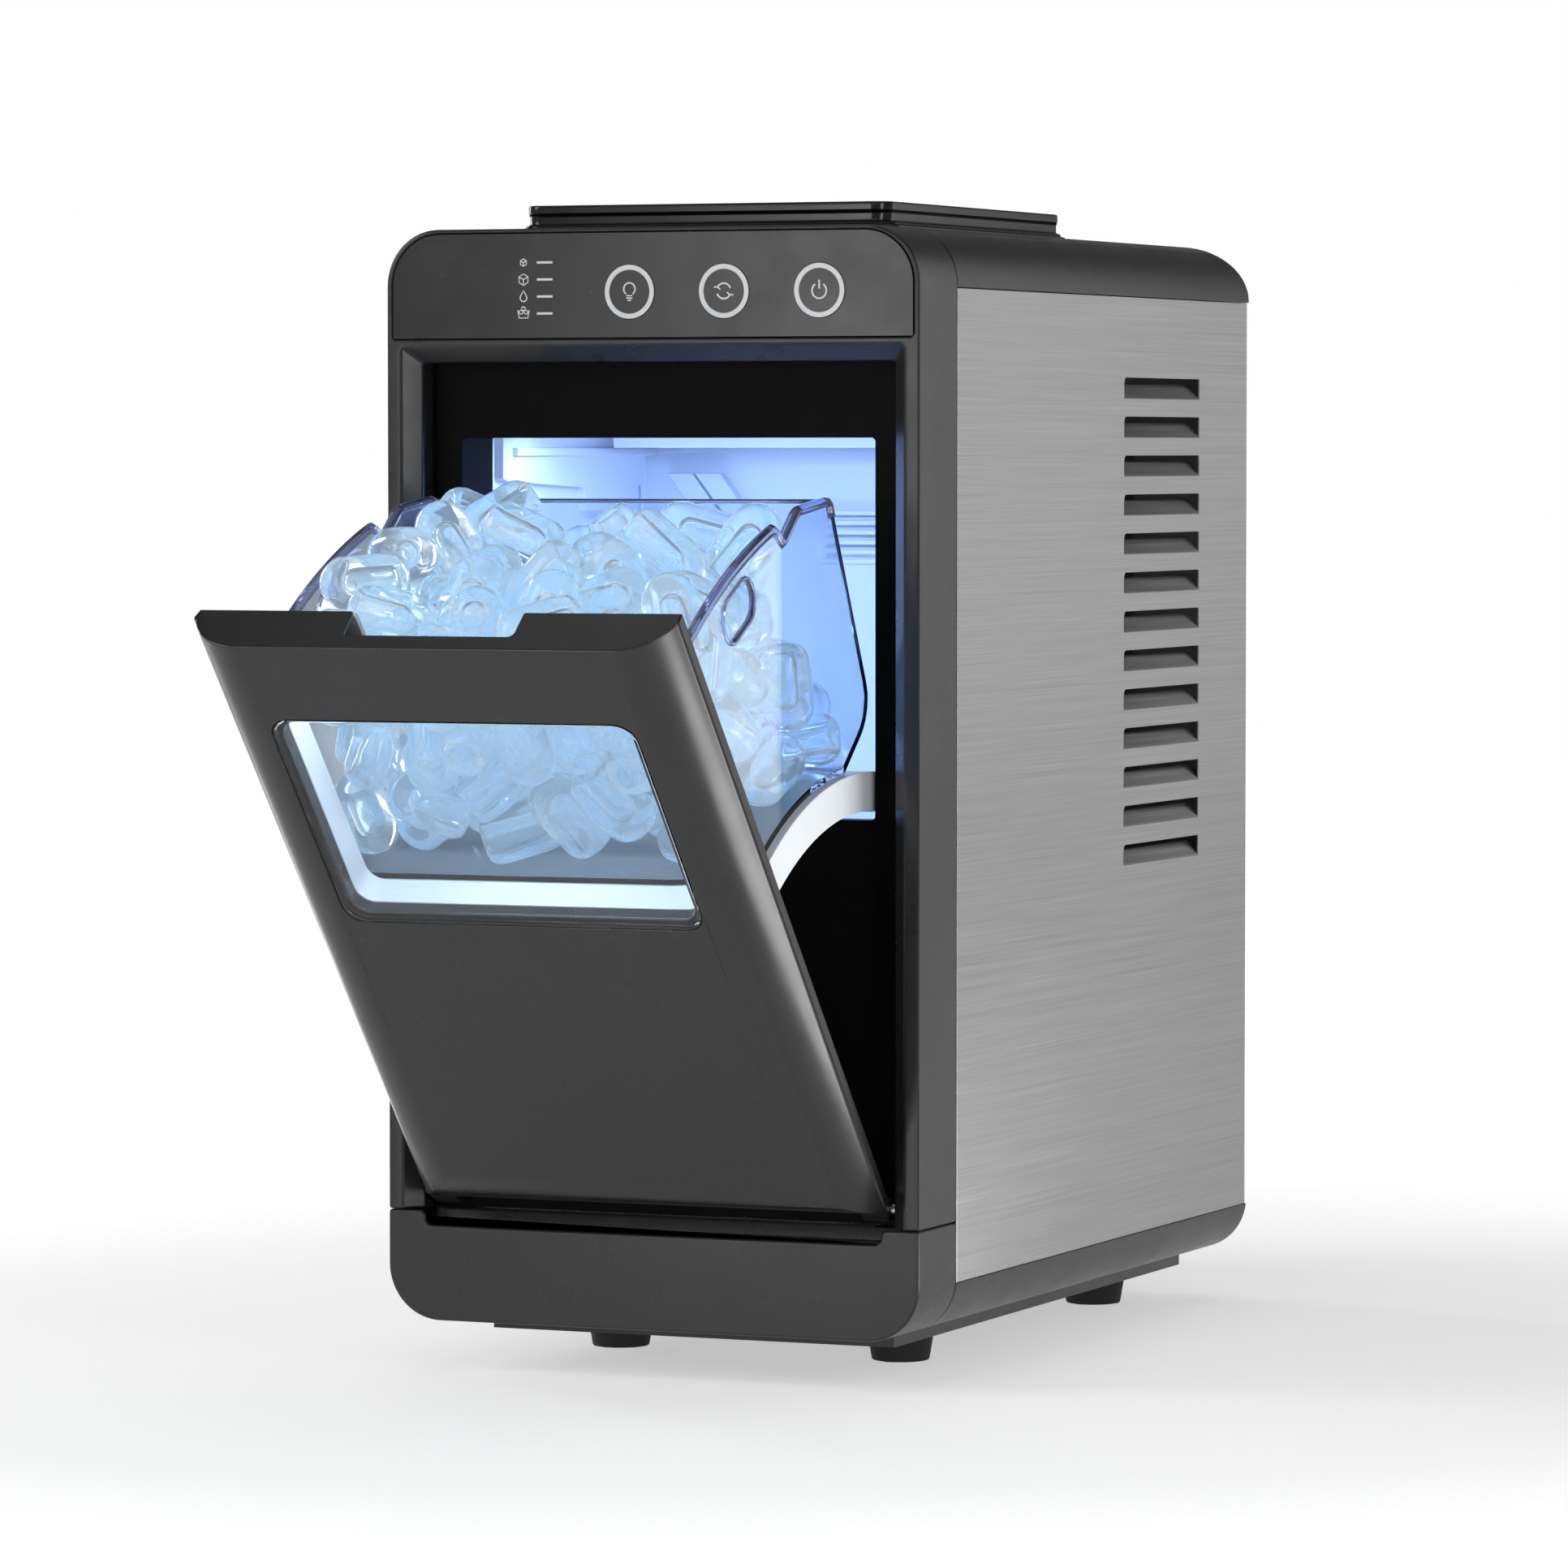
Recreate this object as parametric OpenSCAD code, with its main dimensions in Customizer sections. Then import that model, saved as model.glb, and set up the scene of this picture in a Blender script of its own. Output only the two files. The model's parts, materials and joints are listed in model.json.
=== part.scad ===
// Countertop ice maker with a tilt-out bin door.
// +Z is up, the front faces -Y, and the machine stands on z = 0.
// Parts are laid out with the bezel's front plane at y = 0; place() then moves
// the whole machine so that the origin is under the middle of its box.

/* [Cabinet] */
// Width over the side panels
body_w = 236; // [232:1:244]
// Depth from the bezel's front plane to the rear of the top cover
body_d = 392; // [388:1:410]
// Height of the top cover above the ground
body_top = 469; // [466:1:474]
// Height of the cabinet's underside above the ground
base_z = 21; // [19:1:23]
// Radius of the cabinet's four long edges
corner_r = 23; // [20:1:24]
// Depth of the moulded front bezel
bezel_d = 40.6; // [38:0.1:42]
// Wall of the moulded covers
wall = 2.5; // [2:0.1:3]

/* [Door] */
// Angle at which the tilting door stands open
door_open = 40.5; // [36:0.5:42]
// Width of the door
door_w = 203.8; // [198:0.1:205]
// Height of the door's top edge above its hinge axis
door_top = 320.4; // [312:0.1:324]
// Thickness of the door
door_t = 21.5; // [20:0.1:24]
// Height of the hinge axis above the ground
hinge_z = 74; // [73:0.5:76]
// Depth of the hinge axis behind the bezel's front plane
hinge_y = 11; // [11:0.5:11.5]

/* [Ice bin] */
// Width of the ice basket
basket_w = 176; // [168:1:177]
// Wall of the clear basket
basket_wall = 2; // [1.6:0.1:2.4]
// Outer radius of the curved carrier about the hinge
carrier_r = 176; // [174:0.5:177]
// Width of the curved carrier
carrier_w = 182; // [176:1:182]

/* [Controls] */
// Diameter of a push button
button_d = 21.9; // [20:0.1:22]
// Distance between buttons
button_pitch = 41.65; // [38:0.05:42]
// Height of the button row
button_z = 443; // [441:0.5:445]

/* [Side panels] */
// Number of louvers in a side panel
louver_count = 13; // [8:1:13]
// Distance between louvers
louver_pitch = 16.66; // [14:0.01:16.7]
// Length of a louver
louver_l = 94; // [60:1:96]

/* [Hidden] */
$fn = 48;

// Shade of the moulded plastic, the steel and the clear and white plastics
dark = "#3b3b3b";
steel = "#b4b4b4";
white = "#eef1f5";
black = "#1c1c1c";
copper = "#b56c43";

// Half width of the cabinet
half_w = body_w / 2;
// Small gap left between two fixed pieces that face each other
seam = 0.2;
// Thickness of the bezel's and the fascia's front plates
face_t = 3;
// Height of the seam between the bezel and the lower fascia
fascia_z = 66.5;
// Floor of the notch in the fascia's top edge
notch_floor = 60.3;
// Door recess: half width and top of the throat, and the 45 degree chamfer around it
recess_x = 104.6;
recess_top = 414.6;
recess_bevel = 7;
// Front face of the chamber frame, at the back of the recess, and its plate
frame_y = 16.5;
frame_t = 2.5;
// Opening in the chamber frame that the bin swings through
open_x = 92;
open_z0 = 230;
open_z1 = 384;
// Depth of the tunnel lips behind that opening
lip_y = 47;
// Control overlay: its edges and the depth of its pocket
overlay_x = 115;
overlay_z0 = 424.6;
overlay_z1 = 466.9;
overlay_r = 21;
overlay_t = 1;
// Middle button's place, and the places of all three
button_x0 = 33.05;
button_xs = [button_x0 - button_pitch, button_x0, button_x0 + button_pitch];
button_flange = 1.7;
// Column of four indicator lights
indicator_x = -50;
indicator_zs = [455.2, 448.4, 441.4, 434.5];
// Control board behind the buttons
board_y = 8;
board_t = 1.6;
board_x = 92;
board_z0 = 428;
board_z1 = 459;
// Steel sheet of the side panels, and their edges
sheet = 0.8;
panel_z0 = 41.7;
panel_z1 = 444.4;
panel_y1 = 388.6;
// Louvers: front end, top of the highest one, height of a slot and depth of its scoop
louver_y = 232.8;
louver_z = 410;
louver_h = 9;
louver_scoop = 6;
// Radius of the top cover's rear edge
rear_r = 27;
// Rear panel's outer face, set in from the back of the covers
rear_y = 386;
rear_t = 1.2;
// Door shell: flat side flange, shell wall, radius beside its front face, the small step
// where that radius meets the flange, and the large radius under the front face
flange = 5.3;
shell_t = 2.5;
door_side_r = 24;
side_step = 0.35;
chin_r = 32;
chin_y = chin_r - door_t;
// Finger notch in the door's top edge
notch_x = 36;
notch_d = 13.8;
notch_z0 = door_top - 17;
// Door window: half width, lower and upper edge above the hinge, corner radius, pane
win_x = 77.5;
win_z0 = 174.4;
win_z1 = 282.6;
win_r = 9;
pane_t = 4.5;
// Border of the pane that rests on the shell's ledge, its seal, and the ledge's depth
win_border = 3.2;
win_seal = 0.8;
ledge_d = 6.5;
ledge_wall = 2.2;
// Door liner behind the shell
liner_t = 2.5;
// Hinge pins and the door's knuckles
pin_r = 2.5;
pin_x0 = 90;
pin_x1 = 110;
knuckle_r = 5;
knuckle_x0 = 90;
knuckle_gap = 0.4;
running_gap = 0.05;
// Carrier: inner radius of its rim, skin, side walls, and the angle that it covers
carrier_ri = 160;
carrier_skin = 3;
carrier_arc = 48;
// Basket outline behind the door: front, top radius, grip, rear and floor
basket_y0 = 4;
basket_top_r = 289;
basket_step_y = 112;
basket_step_z = 254.5;
basket_ramp_y = 134;
basket_rear_y = 162;
basket_rear_z = 236;
basket_floor_z = 144;
basket_heel_y = 124.5;
basket_heel_r = 19;
basket_lean = atan((basket_rear_y - basket_heel_y - basket_heel_r) / 76);
// Interior chamber: inner half width, front and back, top, and the liner's wall
chamber_x = 96;
chamber_y0 = 49;
chamber_y1 = 210;
chamber_z0 = 152;
chamber_z1 = 436;
chamber_wall = 2;
// Water tray: axis at its rear upper edge, size, and wall
tray_y = 200;
tray_z = 406;
tray_x = 80;
tray_depth = 62;
tray_h = 26;
tray_wall = 1.8;
shaft_r = 3;
// Evaporator plate and its fingers
evap_x = 68;
evap_y0 = 142;
evap_y1 = 188;
evap_z = 418;
evap_t = 4;
finger_r = 5.5;
finger_l = 32;
finger_pitch = 27;
finger_rows = [[152, 5], [176, 4]];
evap_tube_r = 3.5;
// Coil over the plate: half width and the end that leaves through the rear wall
coil_x = 52;
coil_y1 = 198;
// Water tank
tank_x = 94;
tank_y0 = 24;
tank_y1 = 208;
tank_z0 = 26;
tank_z1 = 150;
// Insulation behind and beside the chamber
foam_y0 = 212.4;
foam_y1 = 226;
foam_x1 = 112;
// Compressor
comp_x = -14;
comp_y = 290;
comp_z0 = 34;
comp_r = 54;
comp_h = 128;
// Directions of its three feet
comp_feet = [90, 210, 330];
// Height at which the refrigerant tubes enter the dome
comp_port_z = comp_z0 + comp_h - 3;
// Condenser block and its tubes
cond_x = 62;
cond_y0 = 334;
cond_y1 = 350;
cond_z0 = 256;
cond_z1 = 384;
cond_fins = 23;
cond_tubes = 6;
cond_tube_r = 3.2;
// Cooling fan
fan_z = 320;
fan_r = 55;
shroud_half = 66;
shroud_y0 = 354;
shroud_y1 = 384;
fan_blades = 7;
hub_r = 19;
// Refrigerant tube radius
pipe_r = 3;
// Raised lid on the top cover
lid_x = 85;
lid_y0 = 51.3;
lid_y1 = 256.7;
lid_h = 11.2;
// Overhang of the lid's foot past its lip
lid_foot = 3.2;
lid_lift_gap = 0.3;
// Fill opening under the lid
fill_x = 60;
fill_y0 = 86;
fill_y1 = 204;
fill_r = 8;
// Feet
foot_r = 13.5;
foot_x = 64;
foot_y0 = 113;
foot_y1 = 340;
// Base pan: half width, front edge, depth and sheet
pan_x = 90;
pan_y0 = 42;
pan_sheet = 1.2;
pan_t = 7;
pan_z = base_z - pan_t - 0.1;
// Power inlet
inlet_x = 72;
inlet_z = 84;
inlet_screw_x = 20;
// Drain
drain_x = -80;
drain_z = 46;
drain_r = 7;
plug_r = 4.5;

// The machine's box runs from the open door's front top edge to the rear of the top cover
front_y = hinge_y - door_top * sin(door_open) - door_t * cos(door_open);
mid_y = (front_y + body_d) / 2;

// ---- Helpers -------------------------------------------------------------

// Moves the laid-out machine to its own origin
module place() {
    translate([0, -mid_y, 0]) children();
}

// Door pieces are drawn closed about the hinge axis, then swung open
module on_door() {
    place() translate([0, hinge_y, hinge_z]) rotate([door_open, 0, 0]) children();
}

// Box between two corners
module box(a, b) {
    translate(a) cube([b[0] - a[0], b[1] - a[1], b[2] - a[2]]);
}

// Outline in x and z, extruded from y0 to y1
module along_y(y0, y1) {
    translate([0, y1, 0]) rotate([90, 0, 0]) linear_extrude(y1 - y0) children();
}

// Outline in y and z, extruded from x0 to x1
module along_x(x0, x1) {
    translate([x0, 0, 0]) rotate([90, 0, 90]) linear_extrude(x1 - x0) children();
}

// Outline in x and y, extruded from z0 to z1
module along_z(z0, z1) {
    translate([0, 0, z0]) linear_extrude(z1 - z0) children();
}

// Both sides of the machine
module both_sides() {
    children();
    mirror([1, 0, 0]) children();
}

// Rectangle between two corners with round corners
module round_rect(a, b, r) {
    w = b[0] - a[0];
    h = b[1] - a[1];
    translate([a[0] + r, a[1]]) square([w - 2 * r, h]);
    translate([a[0], a[1] + r]) square([w, h - 2 * r]);
    for (x = [a[0] + r, b[0] - r], y = [a[1] + r, b[1] - r])
        translate([x, y]) circle(r);
}

// Round bar along x, y or z
module bar_x(x0, x1, y, z, r) {
    translate([x0, y, z]) rotate([0, 90, 0]) cylinder(h = x1 - x0, r = r);
}

module bar_y(x, y0, y1, z, r) {
    translate([x, y1, z]) rotate([90, 0, 0]) cylinder(h = y1 - y0, r = r);
}

module bar_z(x, y, z0, z1, r) {
    translate([x, y, z0]) cylinder(h = z1 - z0, r = r);
}

// Bent pipe through a list of points, with a ball at each bend
module pipe(points, r) {
    for (i = [0 : len(points) - 2]) {
        d = points[i + 1] - points[i];
        length = norm(d);
        translate(points[i])
            rotate([0, acos(d[2] / length), atan2(d[1], d[0])])
            cylinder(h = length, r = r);
    }
    for (i = [1 : len(points) - 2])
        translate(points[i]) sphere(r);
}

// Cross-section of the cabinet, drawn in by an amount
module cabinet_outline(inset = 0) {
    round_rect([-half_w + inset, base_z + inset], [half_w - inset, body_top - inset],
        corner_r - inset);
}

// Hollow rim of the cabinet's cross-section
module cabinet_rim() {
    difference() {
        cabinet_outline();
        cabinet_outline(wall);
    }
}

// ---- Front ---------------------------------------------------------------

// Notch in the fascia's top edge, rounded in and out by one small radius
module fascia_notch() {
    r = (fascia_z - notch_floor) / 2;
    x = recess_x - 2 * r;
    translate([-x, notch_floor]) square([2 * x, 2 * r + 1]);
    translate([-x - r, notch_floor + r]) square([2 * (x + r), r + 1]);
    for (s = [-1, 1]) {
        translate([s * x, notch_floor + r]) circle(r);
        difference() {
            translate([s > 0 ? x + r : -x - 2 * r, notch_floor + r]) square([r, r + 1]);
            translate([s * (x + 2 * r), notch_floor + r]) circle(r);
        }
    }
}

// Void of the door recess: two trapezoids that cross as a mitred chamfer
module recess_void() {
    bevel_x = recess_x + recess_bevel;
    bevel_top = recess_top + recess_bevel;
    intersection() {
        along_z(base_z, bevel_top + 1) polygon([
            [-bevel_x - 1, -1], [bevel_x + 1, -1], [recess_x, recess_bevel],
            [recess_x, frame_y + 1], [-recess_x, frame_y + 1], [-recess_x, recess_bevel]
        ]);
        along_x(-half_w, half_w) polygon([
            [-1, base_z], [-1, bevel_top + 1], [recess_bevel, recess_top],
            [frame_y + 1, recess_top], [frame_y + 1, base_z]
        ]);
    }
}

// Outline of the control overlay, square at its lower corners
module overlay_outline(grow = 0) {
    round_rect([-overlay_x - grow, overlay_z0 - grow], [overlay_x + grow, overlay_z1 + grow],
        overlay_r + grow);
    translate([-overlay_x - grow, overlay_z0 - grow])
        square([2 * (overlay_x + grow), overlay_r + 1]);
}

module front_bezel() {
    throat_x = recess_x + 2.4;
    throat_z = recess_top + 2.4;
    hole_r = button_d / 2 + 0.3;
    color(dark) place() difference() {
        union() {
            along_y(0, face_t) cabinet_outline();
            along_y(0, bezel_d) cabinet_rim();
            box([-throat_x - 5, face_t, fascia_z], [throat_x + 5, 9, throat_z + 5]);
            box([-throat_x, face_t, fascia_z], [throat_x, frame_y, throat_z]);
            both_sides() bar_x(recess_x, pin_x1 + 2, hinge_y, hinge_z, knuckle_r + 2);
            for (x = [-board_x + 6, board_x - 6])
                bar_y(x, face_t, board_y, board_z1 - 5, 2.5);
        }
        box([-half_w - 1, -1, 0], [half_w + 1, bezel_d + 1, fascia_z]);
        recess_void();
        along_y(-1, overlay_t) overlay_outline(0.25);
        for (x = button_xs)
            bar_y(x, -1, face_t + 1, button_z, hole_r);
        for (z = indicator_zs)
            box([indicator_x - 9, -1, z - 1.6], [indicator_x + 9, face_t + 1, z + 1.6]);
        both_sides() bar_x(recess_x - 1, pin_x1, hinge_y, hinge_z, pin_r);
    }
}

module control_overlay() {
    hole_r = button_d / 2 + 0.25;
    color("#2e2e2e") place() difference() {
        along_y(0, overlay_t) overlay_outline();
        for (x = button_xs)
            bar_y(x, -1, overlay_t + 1, button_z, hole_r);
    }
}

// Push button: round cap, a flange that keeps it in the bezel, and a stem to its switch
module push_button(x) {
    color("#2a2a2a") place() {
        bar_y(x, -0.3, face_t + 1.2, button_z, button_d / 2);
        bar_y(x, face_t + 0.2, face_t + 1.2, button_z, button_d / 2 + button_flange);
        bar_y(x, face_t + 1.2, board_y - 2.2, button_z, 3);
    }
}

module light_button() {
    push_button(button_xs[0]);
}

module select_button() {
    push_button(button_xs[1]);
}

module power_button() {
    push_button(button_xs[2]);
}

// Four light guides between the overlay and the control board
module indicator_lights() {
    color("#cfe4ff") place()
        for (z = indicator_zs)
            box([indicator_x - 8, overlay_t + 0.1, z - 1.4],
                [indicator_x + 8, board_y, z + 1.4]);
}

// Control board with three small switches and a connector
module control_board() {
    color("#1f5a3c") place() {
        box([-board_x, board_y, board_z0], [board_x, board_y + board_t, board_z1]);
        for (x = button_xs)
            box([x - 3, board_y - 1, button_z - 3], [x + 3, board_y, button_z + 3]);
        box([-20, board_y + board_t, board_z0 + 3], [8, board_y + board_t + 7, board_z0 + 11]);
        box([60, board_y + board_t, board_z0 + 8], [76, board_y + board_t + 2, board_z0 + 20]);
    }
}

// Lower front: plate, side walls, and the gutter behind its notched top edge
module lower_fascia() {
    gutter_x = recess_x - 0.4;
    color(dark) place() {
        difference() {
            union() {
                along_y(0, face_t) cabinet_outline();
                along_y(0, bezel_d) cabinet_rim();
            }
            box([-half_w - 1, -1, fascia_z - seam], [half_w + 1, bezel_d + 1, body_top + 1]);
            along_y(-1, face_t + 1) fascia_notch();
        }
        along_x(-gutter_x, gutter_x) polygon([
            [face_t, notch_floor - 3], [face_t, notch_floor - 0.5], [frame_y - 2.5, notch_floor - 0.5],
            [frame_y - 0.5, fascia_z], [frame_y + 1.5, fascia_z], [frame_y - 1, notch_floor - 3]
        ]);
    }
}

// Plate at the back of the recess, with the opening that the bin swings through
module chamber_frame() {
    x1 = recess_x + 2;
    back = frame_y + frame_t;
    color("#303030") place() difference() {
        union() {
            along_y(frame_y, back) difference() {
                translate([-x1, fascia_z + 0.5]) square([2 * x1, recess_top + 2 - fascia_z]);
                round_rect([-open_x, open_z0], [open_x, open_z1], 2);
            }
            both_sides() box([open_x, back, open_z0 - 2], [open_x + 2, lip_y, open_z1 + 2]);
            box([-open_x, back, open_z1], [open_x, lip_y, open_z1 + 2]);
            box([-open_x, back, open_z0 - 2], [open_x, back + 10, open_z0]);
        }
        both_sides() bar_x(recess_x - 4, pin_x1 + 2.4, hinge_y, hinge_z, knuckle_r + 2.4);
    }
}

// ---- Door and bin --------------------------------------------------------

module hinge_pins() {
    color(steel) place() both_sides() bar_x(pin_x0, pin_x1, hinge_y, hinge_z, pin_r);
}

// Door body in plan and in side view, drawn in by an amount
module door_plan(inset) {
    x = door_w / 2 - inset;
    y = -door_t + inset;
    flat_x = door_w / 2 - side_step
        - sqrt(pow(door_side_r, 2) - pow(door_side_r - door_t + flange, 2));
    translate([-x, -flange]) square([2 * x, flange + 1]);
    intersection() {
        union() {
            translate([-flat_x, y]) square([2 * flat_x, -y]);
            for (s = [-1, 1])
                translate([s * flat_x, -door_t + door_side_r]) circle(door_side_r - inset, $fn = 128);
        }
        translate([-x, y - 1]) square([2 * x, -y]);
    }
}

module door_side(inset) {
    difference() {
        union() {
            translate([-door_t + inset, chin_r]) square([door_t + 1, door_top - inset - chin_r]);
            translate([chin_y, chin_r]) circle(chin_r - inset, $fn = 96);
        }
        translate([-door_t - 1, door_top - inset]) square([2 * door_t, 100]);
        translate([1, -10]) square([2 * chin_r, door_top]);
    }
}

module door_form(inset) {
    intersection() {
        along_z(-20, door_top + 20) door_plan(inset);
        along_x(-door_w, door_w) door_side(inset);
    }
}

module window_outline(inset = 0) {
    round_rect([-win_x + inset, win_z0 + inset], [win_x - inset, win_z1 - inset], win_r - inset / 2);
}

// Moulded door body with its finger notch, the window's pocket and ledge, and two hinge
// knuckles
module door_shell() {
    knuckle_x1 = recess_x - 2.6 - knuckle_gap;
    color(dark) on_door() difference() {
        union() {
            difference() {
                door_form(0);
                door_form(shell_t);
            }
            along_y(-door_t + 1, -door_t + pane_t + ledge_d) window_outline(-ledge_wall);
            both_sides() {
                bar_x(knuckle_x0, knuckle_x1, 0, 0, knuckle_r);
                box([knuckle_x0, -knuckle_r, 0], [door_w / 2, 0, 14]);
            }
        }
        box([-door_w, 0, knuckle_r + 1], [door_w, 10, door_top + 1]);
        box([-knuckle_x0, 0, -10], [knuckle_x0, 10, door_top + 1]);
        along_y(-door_t - 1, -door_t + pane_t + win_seal) window_outline();
        along_y(-door_t, 1) window_outline(win_border);
        along_z(notch_z0, door_top + 1)
            round_rect([-notch_x, -notch_d], [notch_x, 10], 3);
        both_sides() bar_x(knuckle_x0 - 1, pin_x1, 0, 0, pin_r + running_gap);
    }
}

// White inner panel of the door, with the tunnel that frames the window
module door_liner() {
    x = door_w / 2 - shell_t - 0.4;
    z0 = knuckle_r + 3;
    z1 = door_top - shell_t - 0.6;
    tunnel_y = -door_t + pane_t + ledge_d + 0.1;
    color(white) on_door() difference() {
        union() {
            box([-x, 0.1, z0], [x, liner_t, z1]);
            along_y(tunnel_y, 0.2) window_outline(win_border - 2);
        }
        along_y(tunnel_y - 1, liner_t + 1) window_outline(win_border);
        along_z(notch_z0, door_top + 1)
            round_rect([-notch_x, -notch_d], [notch_x, 10], 3);
    }
}

// Clear pane set flush in the door
module door_window() {
    color([0.8, 0.9, 1, 0.35]) on_door()
        along_y(-door_t, -door_t + pane_t) window_outline(0.2);
}

// Dark seal between the pane and the shell's ledge
module window_gasket() {
    color(black) on_door() along_y(-door_t + pane_t, -door_t + pane_t + win_seal) difference() {
        window_outline(0.4);
        window_outline(win_border);
    }
}

// Soft seal on the liner that meets the chamber frame when the door closes; it stops
// on each side of the finger notch
module door_gasket() {
    x = open_x + 5;
    z0 = open_z0 - hinge_z - 9;
    z1 = open_z1 - hinge_z + 6;
    color(black) on_door() along_y(liner_t, liner_t + 1.8) difference() {
        round_rect([-x, z0], [x, z1], 5);
        round_rect([-x + 3, z0 + 3], [x - 3, z1 - 3], 3);
        translate([-notch_x - 3, z1 - 10]) square([2 * notch_x + 6, 20]);
    }
}

// Two magnets in the door's top that hold it shut against the chamber frame
module door_magnets() {
    color("#8c8c8c") on_door() both_sides()
        bar_y(70, -5, 0, door_top - 14, 6);
}

// Part of the carrier's side view between two radii and two angles behind the door
module carrier_sector(r0, r1, a0, a1) {
    far = 2 * r1;
    intersection() {
        difference() {
            circle(r1, $fn = 128);
            circle(r0, $fn = 128);
        }
        polygon([
            [0, 0], [far * sin(a0), far * cos(a0)],
            [far * sin((a0 + a1) / 2), far * cos((a0 + a1) / 2)],
            [far * sin(a1), far * cos(a1)]
        ]);
    }
}

// White carrier: a floor curved about the hinge, with deep side walls, that holds the
// basket and slides through the opening as the door tilts
module bin_carrier() {
    half = carrier_w / 2;
    first = asin((liner_t + 0.1) / carrier_ri);
    slot_angles = [14, 22, 30, 38];
    color(white) on_door() difference() {
        along_x(-half, half) carrier_sector(carrier_ri, carrier_r, first, carrier_arc);
        along_x(-half + carrier_skin, half - carrier_skin)
            carrier_sector(carrier_ri - 1, carrier_r - carrier_skin, first + 1, carrier_arc - 1);
        for (a = slot_angles, x = [-60, -20, 20, 60])
            rotate([-a, 0, 0])
                box([x - 12, -2, carrier_r - 10], [x + 12, 2, carrier_r + 10]);
    }
}

// Side view of the basket, drawn in by an amount; open_top carries the rear wall and
// the mouth up past the rim, for cutting the hollow
module basket_side(inset, open_top) {
    y0 = basket_y0 + inset;
    heel_r = basket_heel_r - inset;
    rear_shift = inset / cos(basket_lean);
    heel_x = basket_heel_y + heel_r * cos(basket_lean);
    heel_z = basket_floor_z + basket_heel_r - heel_r * sin(basket_lean);
    top_r = open_top ? basket_top_r + 30 : basket_top_r;
    step = open_top ? 80 : 0;
    difference() {
        union() {
            intersection() {
                circle(top_r, $fn = 192);
                translate([y0, 100]) square([basket_step_y - y0, 300]);
            }
            polygon([
                [basket_step_y - 1, basket_floor_z + inset], [basket_heel_y, basket_floor_z + inset],
                [heel_x, heel_z], [basket_rear_y - rear_shift, basket_rear_z],
                [basket_rear_y - rear_shift + step * tan(basket_lean), basket_rear_z + step],
                [basket_ramp_y, basket_step_z + step], [basket_step_y - 1, basket_step_z + step]
            ]);
            translate([basket_heel_y, basket_floor_z + basket_heel_r]) circle(heel_r);
        }
        circle(carrier_r + 0.3 + inset, $fn = 192);
        translate([0, 50]) square([basket_rear_y, basket_floor_z + inset - 50]);
    }
}

// Grip hole in each side wall of the basket
module grip_hole() {
    translate([64.5, 264.3]) rotate(-12) {
        translate([-7, -9.5]) square([14, 19]);
        translate([-7, 0]) circle(9.5);
        translate([7, 0]) circle(9.5);
    }
}

// Clear basket with a thickened top edge, grip holes and drain slots
module ice_basket() {
    half = basket_w / 2;
    rim = 0.8;
    bead = 3;
    color([0.8, 0.9, 1, 0.4]) on_door() difference() {
        union() {
            along_x(-half, half) basket_side(0, false);
            both_sides() along_x(half - bead, half + rim) intersection() {
                difference() {
                    circle(basket_top_r, $fn = 192);
                    circle(basket_top_r - bead, $fn = 192);
                }
                translate([basket_y0, 100]) square([basket_step_y - basket_y0, 300]);
            }
        }
        along_x(-half + basket_wall, half - basket_wall) basket_side(basket_wall, true);
        along_x(-half - 5, half + 5) grip_hole();
        for (x = [-60 : 20 : 60])
            box([x - 2, 104, basket_floor_z - 1], [x + 2, 122, basket_floor_z + basket_wall + 1]);
    }
}

// ---- Covers --------------------------------------------------------------

// Side view of the top cover, with its large rear radius, drawn in by an amount
module cover_side(inset) {
    y1 = body_d - inset;
    r = rear_r - inset;
    z1 = body_top - inset;
    translate([0, z1 - 60]) square([y1 - r, 60]);
    translate([0, z1 - 60]) square([y1, 60 - r]);
    translate([y1 - r, z1 - r]) circle(r, $fn = 96);
}

module cover_form(inset) {
    intersection() {
        along_y(bezel_d - 2 * inset + 0.1, body_d) cabinet_outline(inset);
        along_x(-body_w, body_w) cover_side(inset);
    }
}

module top_cover() {
    color(dark) place() difference() {
        cover_form(0);
        cover_form(wall);
        box([-body_w, 0, 0], [body_w, body_d + 1, panel_z1 + 0.1]);
        along_z(body_top - 10, body_top + 1) round_rect([-fill_x, fill_y0], [fill_x, fill_y1], fill_r);
    }
}

// Outline of the lid from above, drawn in by an amount
module lid_outline(inset) {
    round_rect([-lid_x + inset, lid_y0 + inset], [lid_x - inset, lid_y1 - inset], 11 - inset);
}

// Lift-off lid: stepped foot, narrow waist, a lip around its top, and a locating skirt
module top_lid() {
    z0 = body_top + lid_lift_gap;
    z1 = body_top + lid_h;
    color(black) place() {
        along_z(z0, z0 + 1.2) lid_outline(0);
        along_z(z0 + 1.2, z0 + 2.6) lid_outline(lid_foot * 0.6);
        along_z(z0 + 2.6, z1 - 4) lid_outline(lid_foot + 0.6);
        difference() {
            along_z(z1 - 4, z1) lid_outline(lid_foot);
            along_z(z1 - 1.4, z1 + 1) lid_outline(lid_foot + 6);
        }
        along_z(body_top - 7, z0) difference() {
            round_rect([-fill_x + 1, fill_y0 + 1], [fill_x - 1, fill_y1 - 1], fill_r - 1);
            round_rect([-fill_x + 3, fill_y0 + 3], [fill_x - 3, fill_y1 - 3], fill_r - 3);
        }
    }
}

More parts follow.
